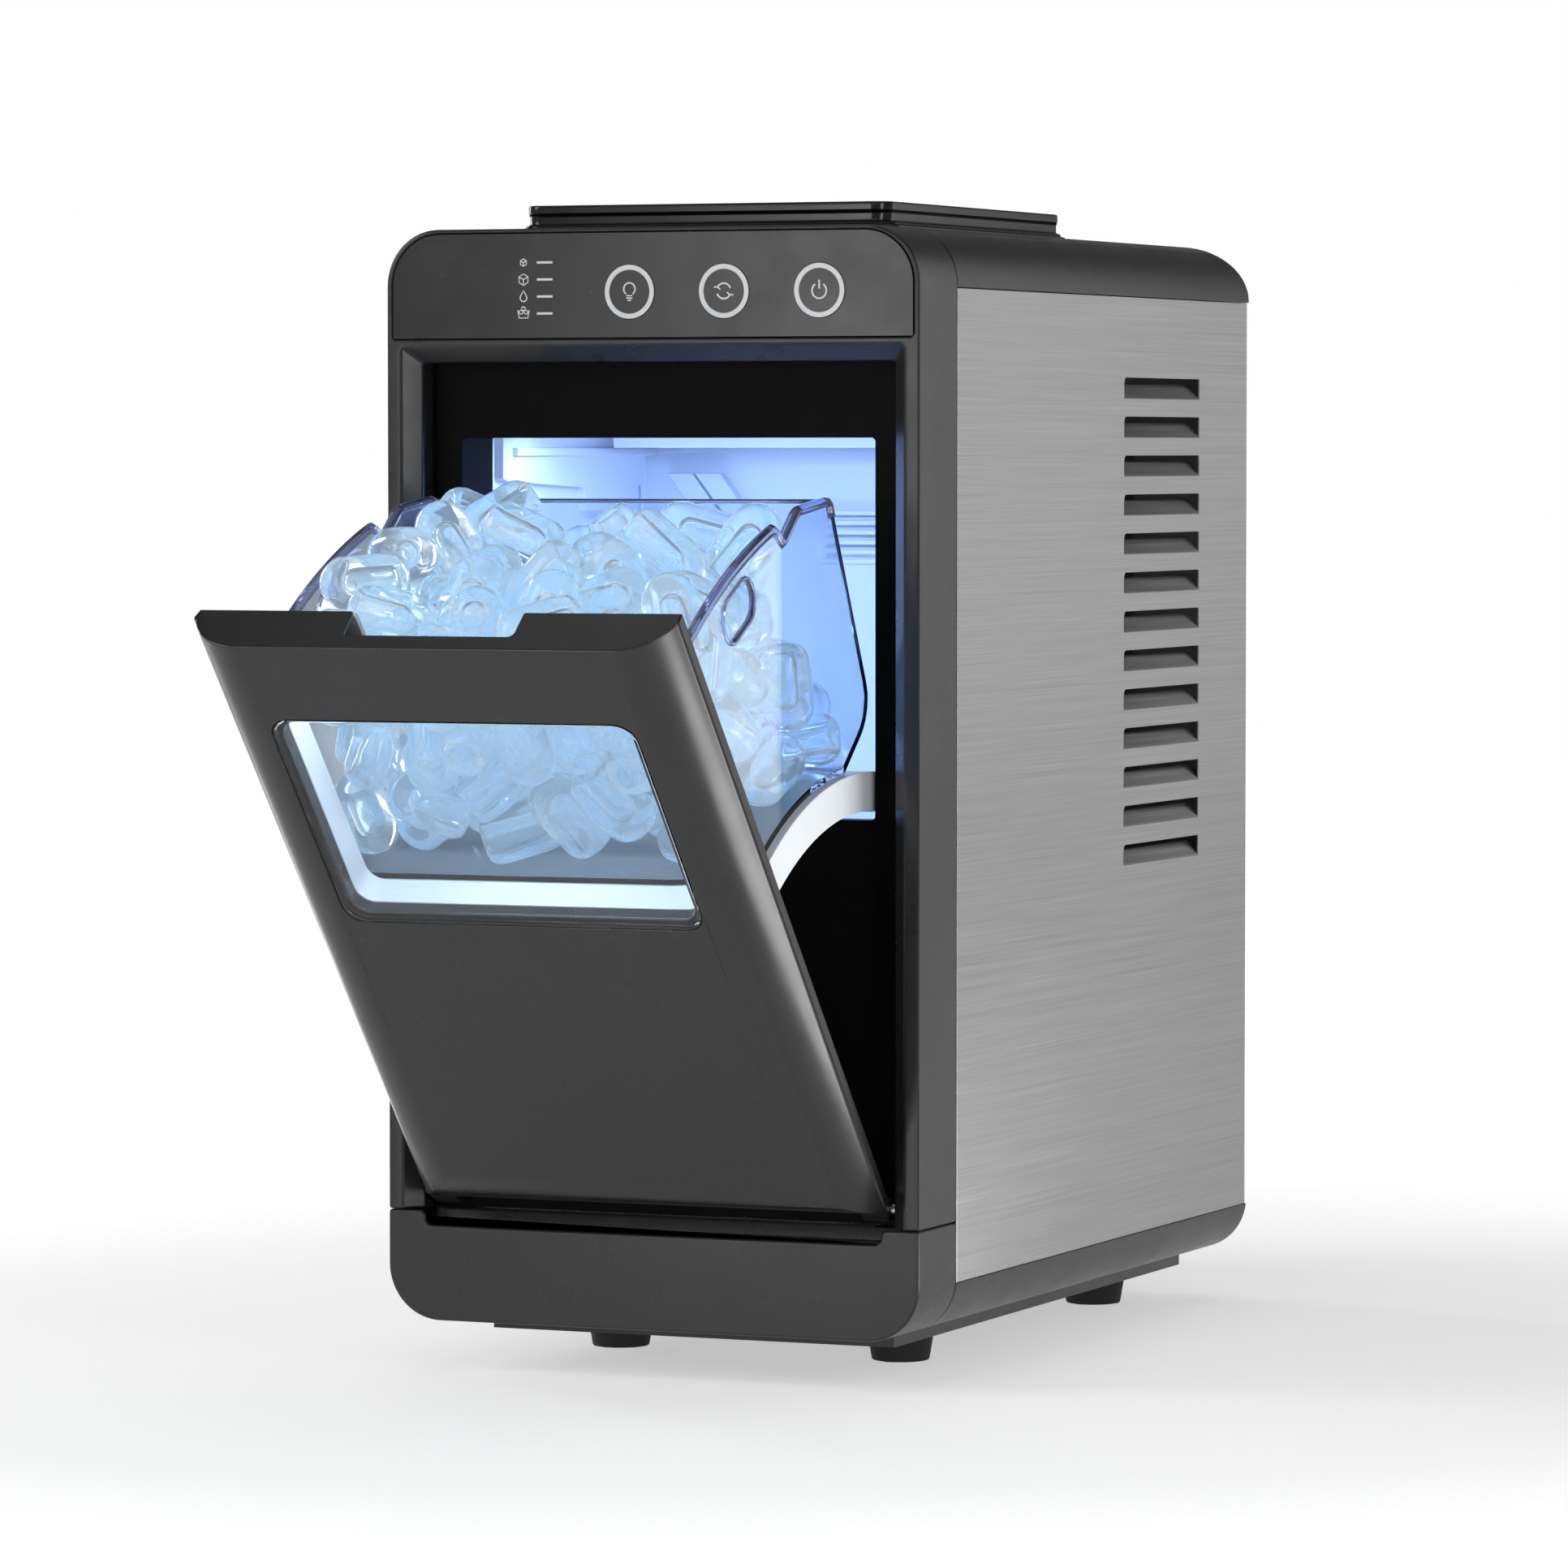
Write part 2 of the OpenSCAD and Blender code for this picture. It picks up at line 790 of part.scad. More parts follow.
// Funnel under the lid that leads fill water to the back of the chamber
module fill_funnel() {
    x = fill_x + 6;
    y0 = fill_y0 - 6;
    y1 = chamber_y1 - 1;
    z1 = body_top - wall - 0.2;
    spout_x = 26;
    color(white) place() difference() {
        union() {
            along_x(-x, x) polygon([[y0, z1], [y1, z1], [y1, 440], [y1 - 10, 440], [y0, 446]]);
            box([-spout_x, y1 - 9, 426], [spout_x, y1, 441]);
        }
        along_x(-x + 2, x - 2)
            polygon([[y0 + 2, z1 + 1], [y1 - 2, z1 + 1], [y1 - 2, 442], [y1 - 10, 442], [y0 + 2, 448]]);
        box([-spout_x + 1.6, y1 - 7.4, 425], [spout_x - 1.6, y1 - 1.6, 445]);
    }
}

// One louver: the slot, with its rounded upper front corner
module louver_slot(z) {
    along_x(half_w - 3, half_w + 1) {
        translate([louver_y, z - louver_h]) square([louver_l, louver_h - 3]);
        translate([louver_y + 3, z - 4]) square([louver_l - 3, 4]);
        translate([louver_y + 3, z - 3]) circle(3);
    }
}

// One louver: the tongue that is pressed inwards from the slot's lower edge
module louver_tongue(z) {
    along_y(louver_y, louver_y + louver_l) polygon([
        [half_w, z - louver_h], [half_w - sheet, z - louver_h],
        [half_w - louver_scoop, z - 3.4], [half_w - louver_scoop, z - 2.2],
        [half_w - louver_scoop + 0.8, z - 2.6]
    ]);
}

// Brushed steel side with louvers and turned-in edges
module side_panel() {
    difference() {
        union() {
            box([half_w - sheet, bezel_d + 0.2, panel_z0 + 0.2], [half_w, panel_y1, panel_z1 - 0.1]);
            box([half_w - 10, panel_y1 - sheet, panel_z0 + 6], [half_w, panel_y1, panel_z1 - 6]);
        }
        for (i = [0 : louver_count - 1])
            louver_slot(louver_z - i * louver_pitch);
    }
    for (i = [0 : louver_count - 1])
        louver_tongue(louver_z - i * louver_pitch);
}

module right_side_panel() {
    color(steel) place() side_panel();
}

module left_side_panel() {
    color(steel) place() mirror([1, 0, 0]) side_panel();
}

// Rear panel with the fan's grille and the cut-outs for inlet and drain
module rear_panel() {
    x = half_w - 11;
    y0 = rear_y - rear_t;
    color("#9a9a9a") place() difference() {
        box([-x, y0, panel_z0 + 2], [x, rear_y, panel_z1 + 9]);
        for (i = [-6 : 6]) {
            z = fan_z + i * 8.4;
            w = sqrt(pow(fan_r + 2, 2) - pow(i * 8.4, 2));
            for (s = [-1, 1])
                box([s > 0 ? 2.5 : -w, y0 - 1, z - 2.4], [s > 0 ? w : -2.5, rear_y + 1, z + 2.4]);
        }
        box([inlet_x - 14, y0 - 1, inlet_z - 10.5], [inlet_x + 14, rear_y + 1, inlet_z + 10.5]);
        bar_y(drain_x, y0 - 1, rear_y + 1, drain_z + 12, drain_r + 0.5);
        for (x = [-half_w + 18, half_w - 18], z = [64, 245, 430])
            bar_y(x, y0 - 1, rear_y + 1, z, 1.6);
        for (s = [-1, 1])
            bar_y(inlet_x + inlet_screw_x * s, y0 - 1, rear_y + 1, inlet_z, 1.6);
    }
}

module rear_screws() {
    color("#777777") place()
        for (x = [-half_w + 18, half_w - 18], z = [64, 245, 430]) {
            bar_y(x, rear_y - 9, rear_y, z, 1.6);
            bar_y(x, rear_y, rear_y + 2, z, 3.4);
        }
    color("#777777") place()
        for (s = [-1, 1]) {
            bar_y(inlet_x + inlet_screw_x * s, rear_y - 9, rear_y + 3, inlet_z, 1.6);
            bar_y(inlet_x + inlet_screw_x * s, rear_y + 3, rear_y + 4.6, inlet_z, 2.9);
        }
}

// Lower skirt: floor and low walls, with round lower long edges
module base_skirt() {
    z1 = panel_z0;
    color(dark) place() difference() {
        along_y(bezel_d + 0.1, body_d - 0.6) cabinet_outline();
        along_y(bezel_d, body_d - 0.6 - wall) cabinet_outline(wall);
        box([-body_w, 0, z1], [body_w, body_d + 1, body_top + 1]);
    }
}

// Pressed pan under the skirt, with its edges turned up
module base_pan() {
    color("#555555") place() difference() {
        box([-pan_x, pan_y0, pan_z], [pan_x, body_d - 12, pan_z + pan_t]);
        box([-pan_x + pan_sheet, pan_y0 + pan_sheet, pan_z + pan_sheet],
            [pan_x - pan_sheet, body_d - 12 - pan_sheet, pan_z + pan_t + 1]);
    }
}

// Round rubber feet, slightly narrower at the ground
module feet() {
    color(black) place()
        for (x = [-foot_x, foot_x], y = [foot_y0, foot_y1]) {
            translate([x, y, 0]) cylinder(h = 9, r1 = foot_r - 1.5, r2 = foot_r, $fn = 48);
            bar_z(x, y, 9, pan_z, foot_r);
        }
}

// Mains inlet: a flanged three-pin socket
module power_inlet() {
    y0 = rear_y;
    color(black) place() difference() {
        union() {
            box([inlet_x - 24, y0, inlet_z - 12], [inlet_x + 24, y0 + 3, inlet_z + 12]);
            box([inlet_x - 13.7, y0 - 24, inlet_z - 10.2], [inlet_x + 13.7, y0, inlet_z + 10.2]);
        }
        box([inlet_x - 12, y0 - 16, inlet_z - 8], [inlet_x + 12, y0 + 4, inlet_z + 8]);
        for (s = [-1, 1])
            bar_y(inlet_x + inlet_screw_x * s, y0 - 1, y0 + 4, inlet_z, 1.6);
    }
}

module inlet_pins() {
    color("#d9c27a") place()
        for (p = [[-7, -1], [7, -1], [0, 1.5]])
            box([inlet_x + p[0] - 1, rear_y - 16, inlet_z + p[1] - 2],
                [inlet_x + p[0] + 1, rear_y - 2, inlet_z + p[1] + 2]);
}

// ---- Ice chamber ---------------------------------------------------------

// White walls of the chamber, with the tray shaft's bores and the pipe slot
module chamber_liner() {
    x1 = chamber_x + chamber_wall;
    y1 = chamber_y1 + chamber_wall;
    color(white) place() difference() {
        box([-x1, chamber_y0, chamber_z0], [x1, y1, chamber_z1]);
        box([-chamber_x, chamber_y0 - 1, chamber_z0 - 1], [chamber_x, chamber_y1, chamber_z1 + 1]);
        bar_x(-x1 - 1, x1 + 1, tray_y, tray_z, shaft_r + running_gap);
        box([-62, chamber_y1 - 1, 406], [-38, y1 + 1, chamber_z1 + 1]);
        both_sides() bar_x(chamber_x - 1, x1 + 1, 66, 350, 3);
    }
    color(white) place() both_sides()
        box([chamber_x - 3, 141, 357], [chamber_x, 178, 362]);
}

module rear_insulation() {
    color("#f4f4f0") place() difference() {
        box([-chamber_x - 2, foam_y0, 30], [chamber_x + 2, foam_y1, chamber_z1]);
        box([-62, foam_y0 - 1, 406], [-38, foam_y1 + 1, chamber_z1 + 1]);
        bar_y(drain_x, foam_y0 - 1, foam_y1 + 1, drain_z, drain_r + 0.5);
    }
}

module side_insulation() {
    color("#f4f4f0") place() both_sides()
        difference() {
            box([chamber_x + 2.2, 58, chamber_z0], [foam_x1, 170, chamber_z1]);
            bar_x(chamber_x + 2, foam_x1 + 1, 66, 350, 4);
        }
}

// Lamp over the bin, just behind the tunnel's upper lip
module chamber_lamp() {
    color("#dcebff") place() {
        box([-70, 50, 391], [70, 62, 393]);
        for (x = [-56 : 28 : 56])
            box([x - 4, 52, 389], [x + 4, 60, 391]);
        both_sides() box([70, 50, 388], [chamber_x, 62, 394]);
    }
}

// Infra-red pair that sees when the bin is full
module ice_level_sensors() {
    color(black) place() both_sides() {
        bar_x(chamber_x - 1, chamber_x + 8, 66, 350, 3);
        bar_x(chamber_x + 2, chamber_x + 8, 66, 350, 4);
    }
}

// Evaporator plate with its staggered rows of round-ended fingers
module evaporator() {
    color("#c9c9c9") place() {
        box([-evap_x, evap_y0, evap_z], [evap_x, evap_y1, evap_z + evap_t]);
        for (row = finger_rows, i = [0 : row[1] - 1]) {
            x = (i - (row[1] - 1) / 2) * finger_pitch;
            bar_z(x, row[0], evap_z - finger_l + finger_r, evap_z, finger_r);
            translate([x, row[0], evap_z - finger_l + finger_r]) sphere(finger_r);
        }
        both_sides() box([evap_x, evap_y0 + 6, evap_z], [chamber_x, evap_y0 + 24, evap_z + 2]);
    }
}

// Refrigerant tube that runs to and fro over the plate
module evaporator_coil() {
    z = evap_z + evap_t + evap_tube_r;
    color(copper) place()
        pipe([[-coil_x, coil_y1, z], [-coil_x, 182, z], [coil_x, 182, z], [coil_x, 165, z],
            [-coil_x, 165, z], [-coil_x, 148, z], [coil_x - 10, 148, z]], evap_tube_r);
}

// Side view of the water tray about its axis, drawn in by an amount; open_top carries
// its mouth up past the rim, for cutting the hollow
module tray_side(inset, open_top) {
    z1 = open_top ? 5 : -0.5;
    polygon([
        [-tray_depth + inset, z1], [-tray_depth + 4 + inset, -tray_h + inset],
        [-16 - inset, -tray_h + inset], [-5 - inset, -7], [-5 - inset, z1]
    ]);
}

// Water tray with a sloping back, held on a shaft along its rear upper edge
module water_tray() {
    color(white) place() translate([0, tray_y, tray_z]) difference() {
        union() {
            along_x(-tray_x, tray_x) tray_side(0, false);
            both_sides() {
                bar_x(tray_x - 4, tray_x + 3, 0, 0, shaft_r + 2.5);
                box([tray_x - 4, -16, -6], [tray_x, 0, -0.5]);
            }
        }
        along_x(-tray_x + tray_wall, tray_x - tray_wall) tray_side(tray_wall, true);
        bar_x(-body_w, body_w, 0, 0, shaft_r);
    }
}

module tray_shaft() {
    color(steel) place() bar_x(-chamber_x - 1.8, chamber_x + 9, tray_y, tray_z, shaft_r);
}

// Geared motor outside the liner that turns the tray's shaft
module tray_motor() {
    x0 = chamber_x + chamber_wall + 0.2;
    color("#d6d6cf") place() difference() {
        union() {
            box([x0, tray_y - 22, tray_z - 22], [x0 + 10, tray_y + 10, tray_z + 18]);
            bar_x(x0 + 10, half_w - 2, tray_y - 6, tray_z - 2, 14);
        }
        bar_x(x0 - 1, chamber_x + 10, tray_y, tray_z, shaft_r + running_gap);
    }
}

// ---- Water ---------------------------------------------------------------

module water_tank() {
    color("#e4ecf2") place() difference() {
        along_z(tank_z0, tank_z1) round_rect([-tank_x, tank_y0], [tank_x, tank_y1], 12);
        along_z(tank_z0 + 2.5, tank_z1 + 1)
            round_rect([-tank_x + 2.5, tank_y0 + 2.5], [tank_x - 2.5, tank_y1 - 2.5], 9.5);
        bar_y(drain_x, tank_y1 - 4, tank_y1 + 1, drain_z, 4.5);
    }
}

module water_pump() {
    color(black) place() {
        bar_z(62, 184, tank_z0 + 2.5, tank_z0 + 34, 17);
        bar_z(62, 184, tank_z0 + 34, tank_z0 + 48, 11);
        bar_z(84, 184, tank_z0 + 8, tank_z0 + 22, 6);
        box([62, 179, tank_z0 + 9], [84, 189, tank_z0 + 20]);
    }
}

// Silicone tube from the pump to the tray
module pump_hose() {
    z = tray_z + 7;
    color("#f2f2f2") place() {
        pipe([[84, 184, tank_z0 + 22], [84, 184, 158], [90, 184, 158], [90, 184, z], [74, 184, z]], 3.5);
    }
}

// Two steel probes on a white holder that sense the water level
module water_level_probe() {
    color("#c9c9c9") place() {
        for (x = [-54, -42])
            bar_z(x, tank_y1 - 12, tank_z0 + 12, tank_z1 - 10, 1.5);
        box([-60, tank_y1 - 18, tank_z1 - 10], [-36, tank_y1 - 2.5, tank_z1 - 4]);
    }
}

// Drain tube from the tank, up to its outlet in the rear panel
module drain_spout() {
    z1 = drain_z + 12;
    color("#d8d8d8") place() difference() {
        pipe([[drain_x, tank_y1, drain_z], [drain_x, 236, drain_z], [drain_x, 252, z1],
            [drain_x, rear_y, z1]], drain_r);
        bar_y(drain_x, rear_y - 30, rear_y + 1, z1, plug_r);
    }
}

// Soft plug in the drain's outlet
module drain_plug() {
    z1 = drain_z + 12;
    color("#4a4a4a") place() {
        bar_y(drain_x, rear_y - 14, rear_y + 0.3, z1, plug_r - running_gap);
        bar_y(drain_x, rear_y + 0.3, rear_y + 3.3, z1, drain_r + 2);
        box([drain_x - 1.5, rear_y + 3.3, z1 - 7], [drain_x + 1.5, rear_y + 5.8, z1 + 7]);
    }
}

// ---- Refrigeration -------------------------------------------------------

// Steel pot with a domed top and a welded seam
module compressor() {
    seam_z = comp_z0 + comp_h * 0.5;
    color(black) place() difference() {
        union() {
            bar_z(comp_x, comp_y, comp_z0, comp_z0 + comp_h - 20, comp_r);
            bar_z(comp_x, comp_y, seam_z - 3, seam_z + 3, comp_r + 3);
            intersection() {
                translate([comp_x, comp_y, comp_z0 + comp_h - 64])
                    sphere(sqrt(comp_r * comp_r + 44 * 44), $fn = 96);
                bar_z(comp_x, comp_y, comp_z0 + comp_h - 21, comp_z0 + comp_h + 20, comp_r);
            }
            for (a = comp_feet)
                translate([comp_x, comp_y, comp_z0])
                    rotate([0, 0, a]) box([comp_r - 8, -13, 0], [comp_r + 14, 13, 3]);
        }
        for (a = comp_feet)
            translate([comp_x, comp_y, 0]) rotate([0, 0, a]) bar_z(comp_r + 6, 0, 0, comp_z0 + 4, 4);
    }
}

module compressor_cover() {
    x0 = comp_x + comp_r + 0.3;
    color("#2c2c2c") place()
        box([x0 + 3, comp_y - 24, comp_z0 + 20], [x0 + 26, comp_y + 14, comp_z0 + 56]);
    color("#2c2c2c") place()
        box([x0, comp_y - 10, comp_z0 + 24], [x0 + 3, comp_y + 10, comp_z0 + 50]);
}

module compressor_grommets() {
    color("#3a3a3a") place()
        for (a = comp_feet)
            translate([comp_x, comp_y, 0]) rotate([0, 0, a]) {
                bar_z(comp_r + 6, 0, base_z + wall, comp_z0, 8);
                bar_z(comp_r + 6, 0, comp_z0, comp_z0 + 3.4, 3.9);
                bar_z(comp_r + 6, 0, comp_z0 + 3.2, comp_z0 + 6, 5.5);
            }
}

function cond_tube_z(i) = cond_z0 + (cond_z1 - cond_z0) * (i + 0.5) / cond_tubes;

module condenser_fins() {
    pitch = 2 * cond_x / (cond_fins - 1);
    y = (cond_y0 + cond_y1) / 2;
    color("#c4c4c4") place() difference() {
        for (i = [0 : cond_fins - 1])
            box([-cond_x + i * pitch - 0.4, cond_y0, cond_z0], [-cond_x + i * pitch + 0.4, cond_y1, cond_z1]);
        for (i = [0 : cond_tubes - 1])
            bar_x(-cond_x - 5, cond_x + 5, y, cond_tube_z(i), cond_tube_r);
    }
}

// Serpentine tube through the fins
module condenser_coil() {
    y = (cond_y0 + cond_y1) / 2;
    x = cond_x + 8;
    points = [for (i = [0 : cond_tubes - 1], s = [0, 1])
        [(i % 2 == s ? -x : x), y, cond_tube_z(i)]];
    color(copper) place() pipe(points, cond_tube_r);
}

// Square frame around the fan, with three arms that hold its motor
module fan_shroud() {
    color("#2b2b2b") place() difference() {
        box([-shroud_half, shroud_y0, fan_z - shroud_half], [shroud_half, shroud_y1, fan_z + shroud_half]);
        difference() {
            bar_y(0, shroud_y0 - 1, shroud_y1 + 1, fan_z, fan_r + 3);
            for (a = [90, 210, 330])
                translate([0, 0, fan_z]) rotate([0, a, 0])
                    box([0, shroud_y0 - 2, -4], [fan_r + 6, shroud_y0 + 3, 4]);
            bar_y(0, shroud_y0 - 2, shroud_y0 + 3, fan_z, hub_r + 3);
        }
        bar_y(0, shroud_y0 - 1, shroud_y0 + 4, fan_z, hub_r - 3);
    }
}

module fan_motor() {
    color("#4d4d4d") place() difference() {
        union() {
            bar_y(0, shroud_y0 - 1, shroud_y0 + 3, fan_z, hub_r - 3);
            bar_y(0, shroud_y0 + 3, shroud_y0 + 9, fan_z, hub_r - 1);
        }
        bar_y(0, shroud_y0 + 2, shroud_y0 + 10, fan_z, 2 + running_gap);
    }
}

// Hub with its shaft and pitched blades
module fan_rotor() {
    y0 = shroud_y0 + 10;
    y1 = shroud_y0 + 24;
    color("#3d3d3d") place() {
        bar_y(0, y0, y1, fan_z, hub_r);
        bar_y(0, shroud_y0 + 3, y0, fan_z, 2);
        for (i = [0 : fan_blades - 1])
            translate([0, (y0 + y1) / 2, fan_z])
                rotate([0, i * 360 / fan_blades, 0])
                rotate([28, 0, 0])
                box([hub_r - 2, -0.9, -13], [fan_r, 0.9, 13]);
    }
}

module filter_drier() {
    color("#b88a4a") place() {
        bar_z(84, 262, 150, 214, 8);
        bar_z(84, 262, 142, 222, 4.5);
    }
}

module discharge_line() {
    y = (cond_y0 + cond_y1) / 2;
    top = cond_tube_z(cond_tubes - 1);
    color(copper) place()
        pipe([[comp_x, comp_y + 30, comp_port_z], [comp_x, comp_y + 30, 208],
            [-cond_x - 24, comp_y + 30, 208], [-cond_x - 24, y, 208], [-cond_x - 24, y, top],
            [-cond_x - 8, y, top]], pipe_r);
}

module suction_line() {
    z = evap_z + evap_t + evap_tube_r;
    color(copper) place()
        pipe([[-coil_x, coil_y1, z], [-coil_x, 238, z], [-coil_x, 238, 186], [comp_x, 238, 186],
            [comp_x, comp_y - 30, 186], [comp_x, comp_y - 30, comp_port_z]], pipe_r);
}

// Thin tube from the condenser, through the drier, to the evaporator
module capillary_line() {
    y = (cond_y0 + cond_y1) / 2;
    low = cond_tube_z(0);
    high = evap_z + 15;
    color(copper) place() {
        pipe([[-cond_x - 8, y, low], [-cond_x - 14, y, low], [-cond_x - 14, y, 240],
            [84, y, 240], [84, 262, 240], [84, 262, 222]], 2);
        pipe([[84, 262, 142], [84, 262, 134], [84, 236, 134], [84, 236, high], [-44, 236, high],
            [-44, 182, high], [-44, 182, evap_z + evap_t + 2 * evap_tube_r]], 1.5);
    }
}

// Power board on the back of the insulation, with its larger parts
module power_board() {
    y0 = foam_y1 + 3;
    color("#2b6b47") place() {
        box([-24, y0, 352], [76, y0 + 1.6, 414]);
        box([30, y0 + 1.6, 358], [66, y0 + 26, 392]);
        box([-16, y0 + 1.6, 360], [4, y0 + 18, 376]);
        for (x = [8, 20], z = [384, 400])
            bar_y(x, y0 + 1.6, y0 + 16, z, 4);
        for (x = [-20, 72], z = [356, 410])
            bar_y(x, foam_y1, y0, z, 2.5);
    }
}

front_bezel();
control_overlay();
light_button();
select_button();
power_button();
indicator_lights();
control_board();
lower_fascia();
chamber_frame();
hinge_pins();
door_shell();
door_liner();
door_window();
window_gasket();
door_gasket();
door_magnets();
bin_carrier();
ice_basket();
top_cover();
top_lid();
fill_funnel();
left_side_panel();
right_side_panel();
rear_panel();
rear_screws();
base_skirt();
base_pan();
feet();
power_inlet();
inlet_pins();
chamber_liner();
rear_insulation();
side_insulation();
chamber_lamp();
ice_level_sensors();
evaporator();
evaporator_coil();
water_tray();
tray_shaft();
tray_motor();
water_tank();
water_pump();
pump_hose();
water_level_probe();
drain_spout();
drain_plug();
compressor();
compressor_cover();
compressor_grommets();
condenser_fins();
condenser_coil();
fan_shroud();
fan_motor();
fan_rotor();
filter_drier();
discharge_line();
suction_line();
capillary_line();
power_board();
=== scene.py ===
"""Looks of a countertop ice maker with a tilt-out bin door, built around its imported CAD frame."""

import json
import math

import bpy
import bmesh
import numpy as np
from mathutils import Matrix, Vector


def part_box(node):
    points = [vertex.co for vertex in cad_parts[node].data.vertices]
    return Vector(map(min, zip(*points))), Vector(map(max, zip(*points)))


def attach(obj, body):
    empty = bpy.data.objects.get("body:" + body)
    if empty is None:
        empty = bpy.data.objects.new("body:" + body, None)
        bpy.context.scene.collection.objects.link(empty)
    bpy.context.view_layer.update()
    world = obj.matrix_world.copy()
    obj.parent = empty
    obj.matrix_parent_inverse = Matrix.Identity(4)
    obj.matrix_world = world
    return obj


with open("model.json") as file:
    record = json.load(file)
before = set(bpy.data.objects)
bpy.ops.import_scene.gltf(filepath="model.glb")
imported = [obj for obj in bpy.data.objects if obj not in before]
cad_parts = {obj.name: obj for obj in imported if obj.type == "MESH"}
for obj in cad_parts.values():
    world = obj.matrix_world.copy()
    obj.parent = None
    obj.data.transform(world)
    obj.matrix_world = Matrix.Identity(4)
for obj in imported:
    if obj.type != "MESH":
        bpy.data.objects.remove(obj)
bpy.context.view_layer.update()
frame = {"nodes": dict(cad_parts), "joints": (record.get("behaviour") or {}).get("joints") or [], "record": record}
MM = 0.001

# ---- Places taken from the frame ---------------------------------------------------

joints = {j["name"]: j for j in frame["joints"]}
HINGE = Vector(joints["door_tilt"]["pos_m"])
TILT = math.radians(-joints["door_tilt"]["range_deg"][0])
SIN, COS = math.sin(TILT), math.cos(TILT)
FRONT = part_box("front_bezel")[0].y
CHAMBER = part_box("chamber_liner")


def swung(x, w, u):
    """Row-frame point from a point on the closed door: w into the cabinet, u up from the hinge, in mm."""
    return HINGE + Vector((x, w * COS - u * SIN, w * SIN + u * COS)) * MM


# ---- Materials ---------------------------------------------------------------------


class Shader:
    """A Principled material whose textures follow the row frame."""

    def __init__(self, name, **sockets):
        self.material = bpy.data.materials.new(name)
        self.material.use_nodes = True
        self.tree = self.material.node_tree
        self.bsdf = self.tree.nodes["Principled BSDF"]
        for socket, value in sockets.items():
            socket = socket.replace("_", " ")
            self.bsdf.inputs[socket].default_value = value
        self.coordinates = self.tree.nodes.new("ShaderNodeTexCoord").outputs["Object"]

    def link(self, a, b):
        self.tree.links.new(a, b)

    def noise(self, scale, detail=3.0, stretch=(1, 1, 1), roughness=0.55):
        """Noise with scale repeats to the metre."""
        mapping = self.tree.nodes.new("ShaderNodeMapping")
        mapping.inputs["Scale"].default_value = stretch
        self.link(self.coordinates, mapping.inputs["Vector"])
        node = self.tree.nodes.new("ShaderNodeTexNoise")
        node.inputs["Scale"].default_value = scale
        node.inputs["Detail"].default_value = detail
        node.inputs["Roughness"].default_value = roughness
        self.link(mapping.outputs["Vector"], node.inputs["Vector"])
        return node.outputs["Fac"]

    def spread(self, value, low, high, start=0.3, end=0.7):
        """Value's range start to end stretched to low to high."""
        node = self.tree.nodes.new("ShaderNodeMapRange")
        node.inputs["From Min"].default_value = start
        node.inputs["From Max"].default_value = end
        node.inputs["To Min"].default_value = low
        node.inputs["To Max"].default_value = high
        self.link(value, node.inputs["Value"])
        return node.outputs["Result"]

    def tint(self, value, a, b):
        """Colour that goes from a to b with value."""
        node = self.tree.nodes.new("ShaderNodeMix")
        node.data_type = "RGBA"
        self.link(value, node.inputs["Factor"])
        node.inputs["A"].default_value = (*a, 1)
        node.inputs["B"].default_value = (*b, 1)
        return node.outputs["Result"]

    def bump(self, value, distance, strength=1.0):
        node = self.tree.nodes.new("ShaderNodeBump")
        node.inputs["Distance"].default_value = distance
        node.inputs["Strength"].default_value = strength
        self.link(value, node.inputs["Height"])
        self.link(node.outputs["Normal"], self.bsdf.inputs["Normal"])


def scaled(colour, factor):
    """Colour made lighter or darker, never above white."""
    return tuple(min(1.0, c * factor) for c in colour)


def moulded(name, colour, roughness, grain=900, depth=0.008, **sockets):
    """Moulded plastic: shallow grain, slow drift of shade and patches of polish; depth in mm."""
    s = Shader(name, **sockets)
    drift = s.spread(s.noise(7, 2), 0, 1)
    s.link(s.tint(drift, scaled(colour, 0.93), scaled(colour, 1.08)), s.bsdf.inputs["Base Color"])
    polish = s.spread(s.noise(45, 4), roughness - 0.035, roughness + 0.04)
    s.link(polish, s.bsdf.inputs["Roughness"])
    s.bump(s.noise(grain, 2), depth * MM, 0.6)
    return s.material


def brushed(name, colour):
    """Brushed sheet whose scratches run front to back."""
    s = Shader(name, Metallic=1.0, Anisotropic=0.55)
    streaks = s.noise(1.0, 5, (60, 9, 3400), 0.65)
    coarse = s.noise(1.0, 3, (20, 3.5, 900), 0.5)
    both = s.tree.nodes.new("ShaderNodeMath")
    both.operation = "MULTIPLY_ADD"
    both.inputs[1].default_value = 0.75
    s.link(streaks, both.inputs[0])
    half = s.tree.nodes.new("ShaderNodeMath")
    half.operation = "MULTIPLY"
    half.inputs[1].default_value = 0.25
    s.link(coarse, half.inputs[0])
    s.link(half.outputs[0], both.inputs[2])
    shade = s.spread(both.outputs[0], 0, 1, 0.34, 0.66)
    s.link(s.tint(shade, scaled(colour, 0.82), scaled(colour, 1.18)), s.bsdf.inputs["Base Color"])
    s.link(s.spread(both.outputs[0], 0.32, 0.40), s.bsdf.inputs["Roughness"])
    s.bump(both.outputs[0], 0.006 * MM, 0.5)
    return s.material


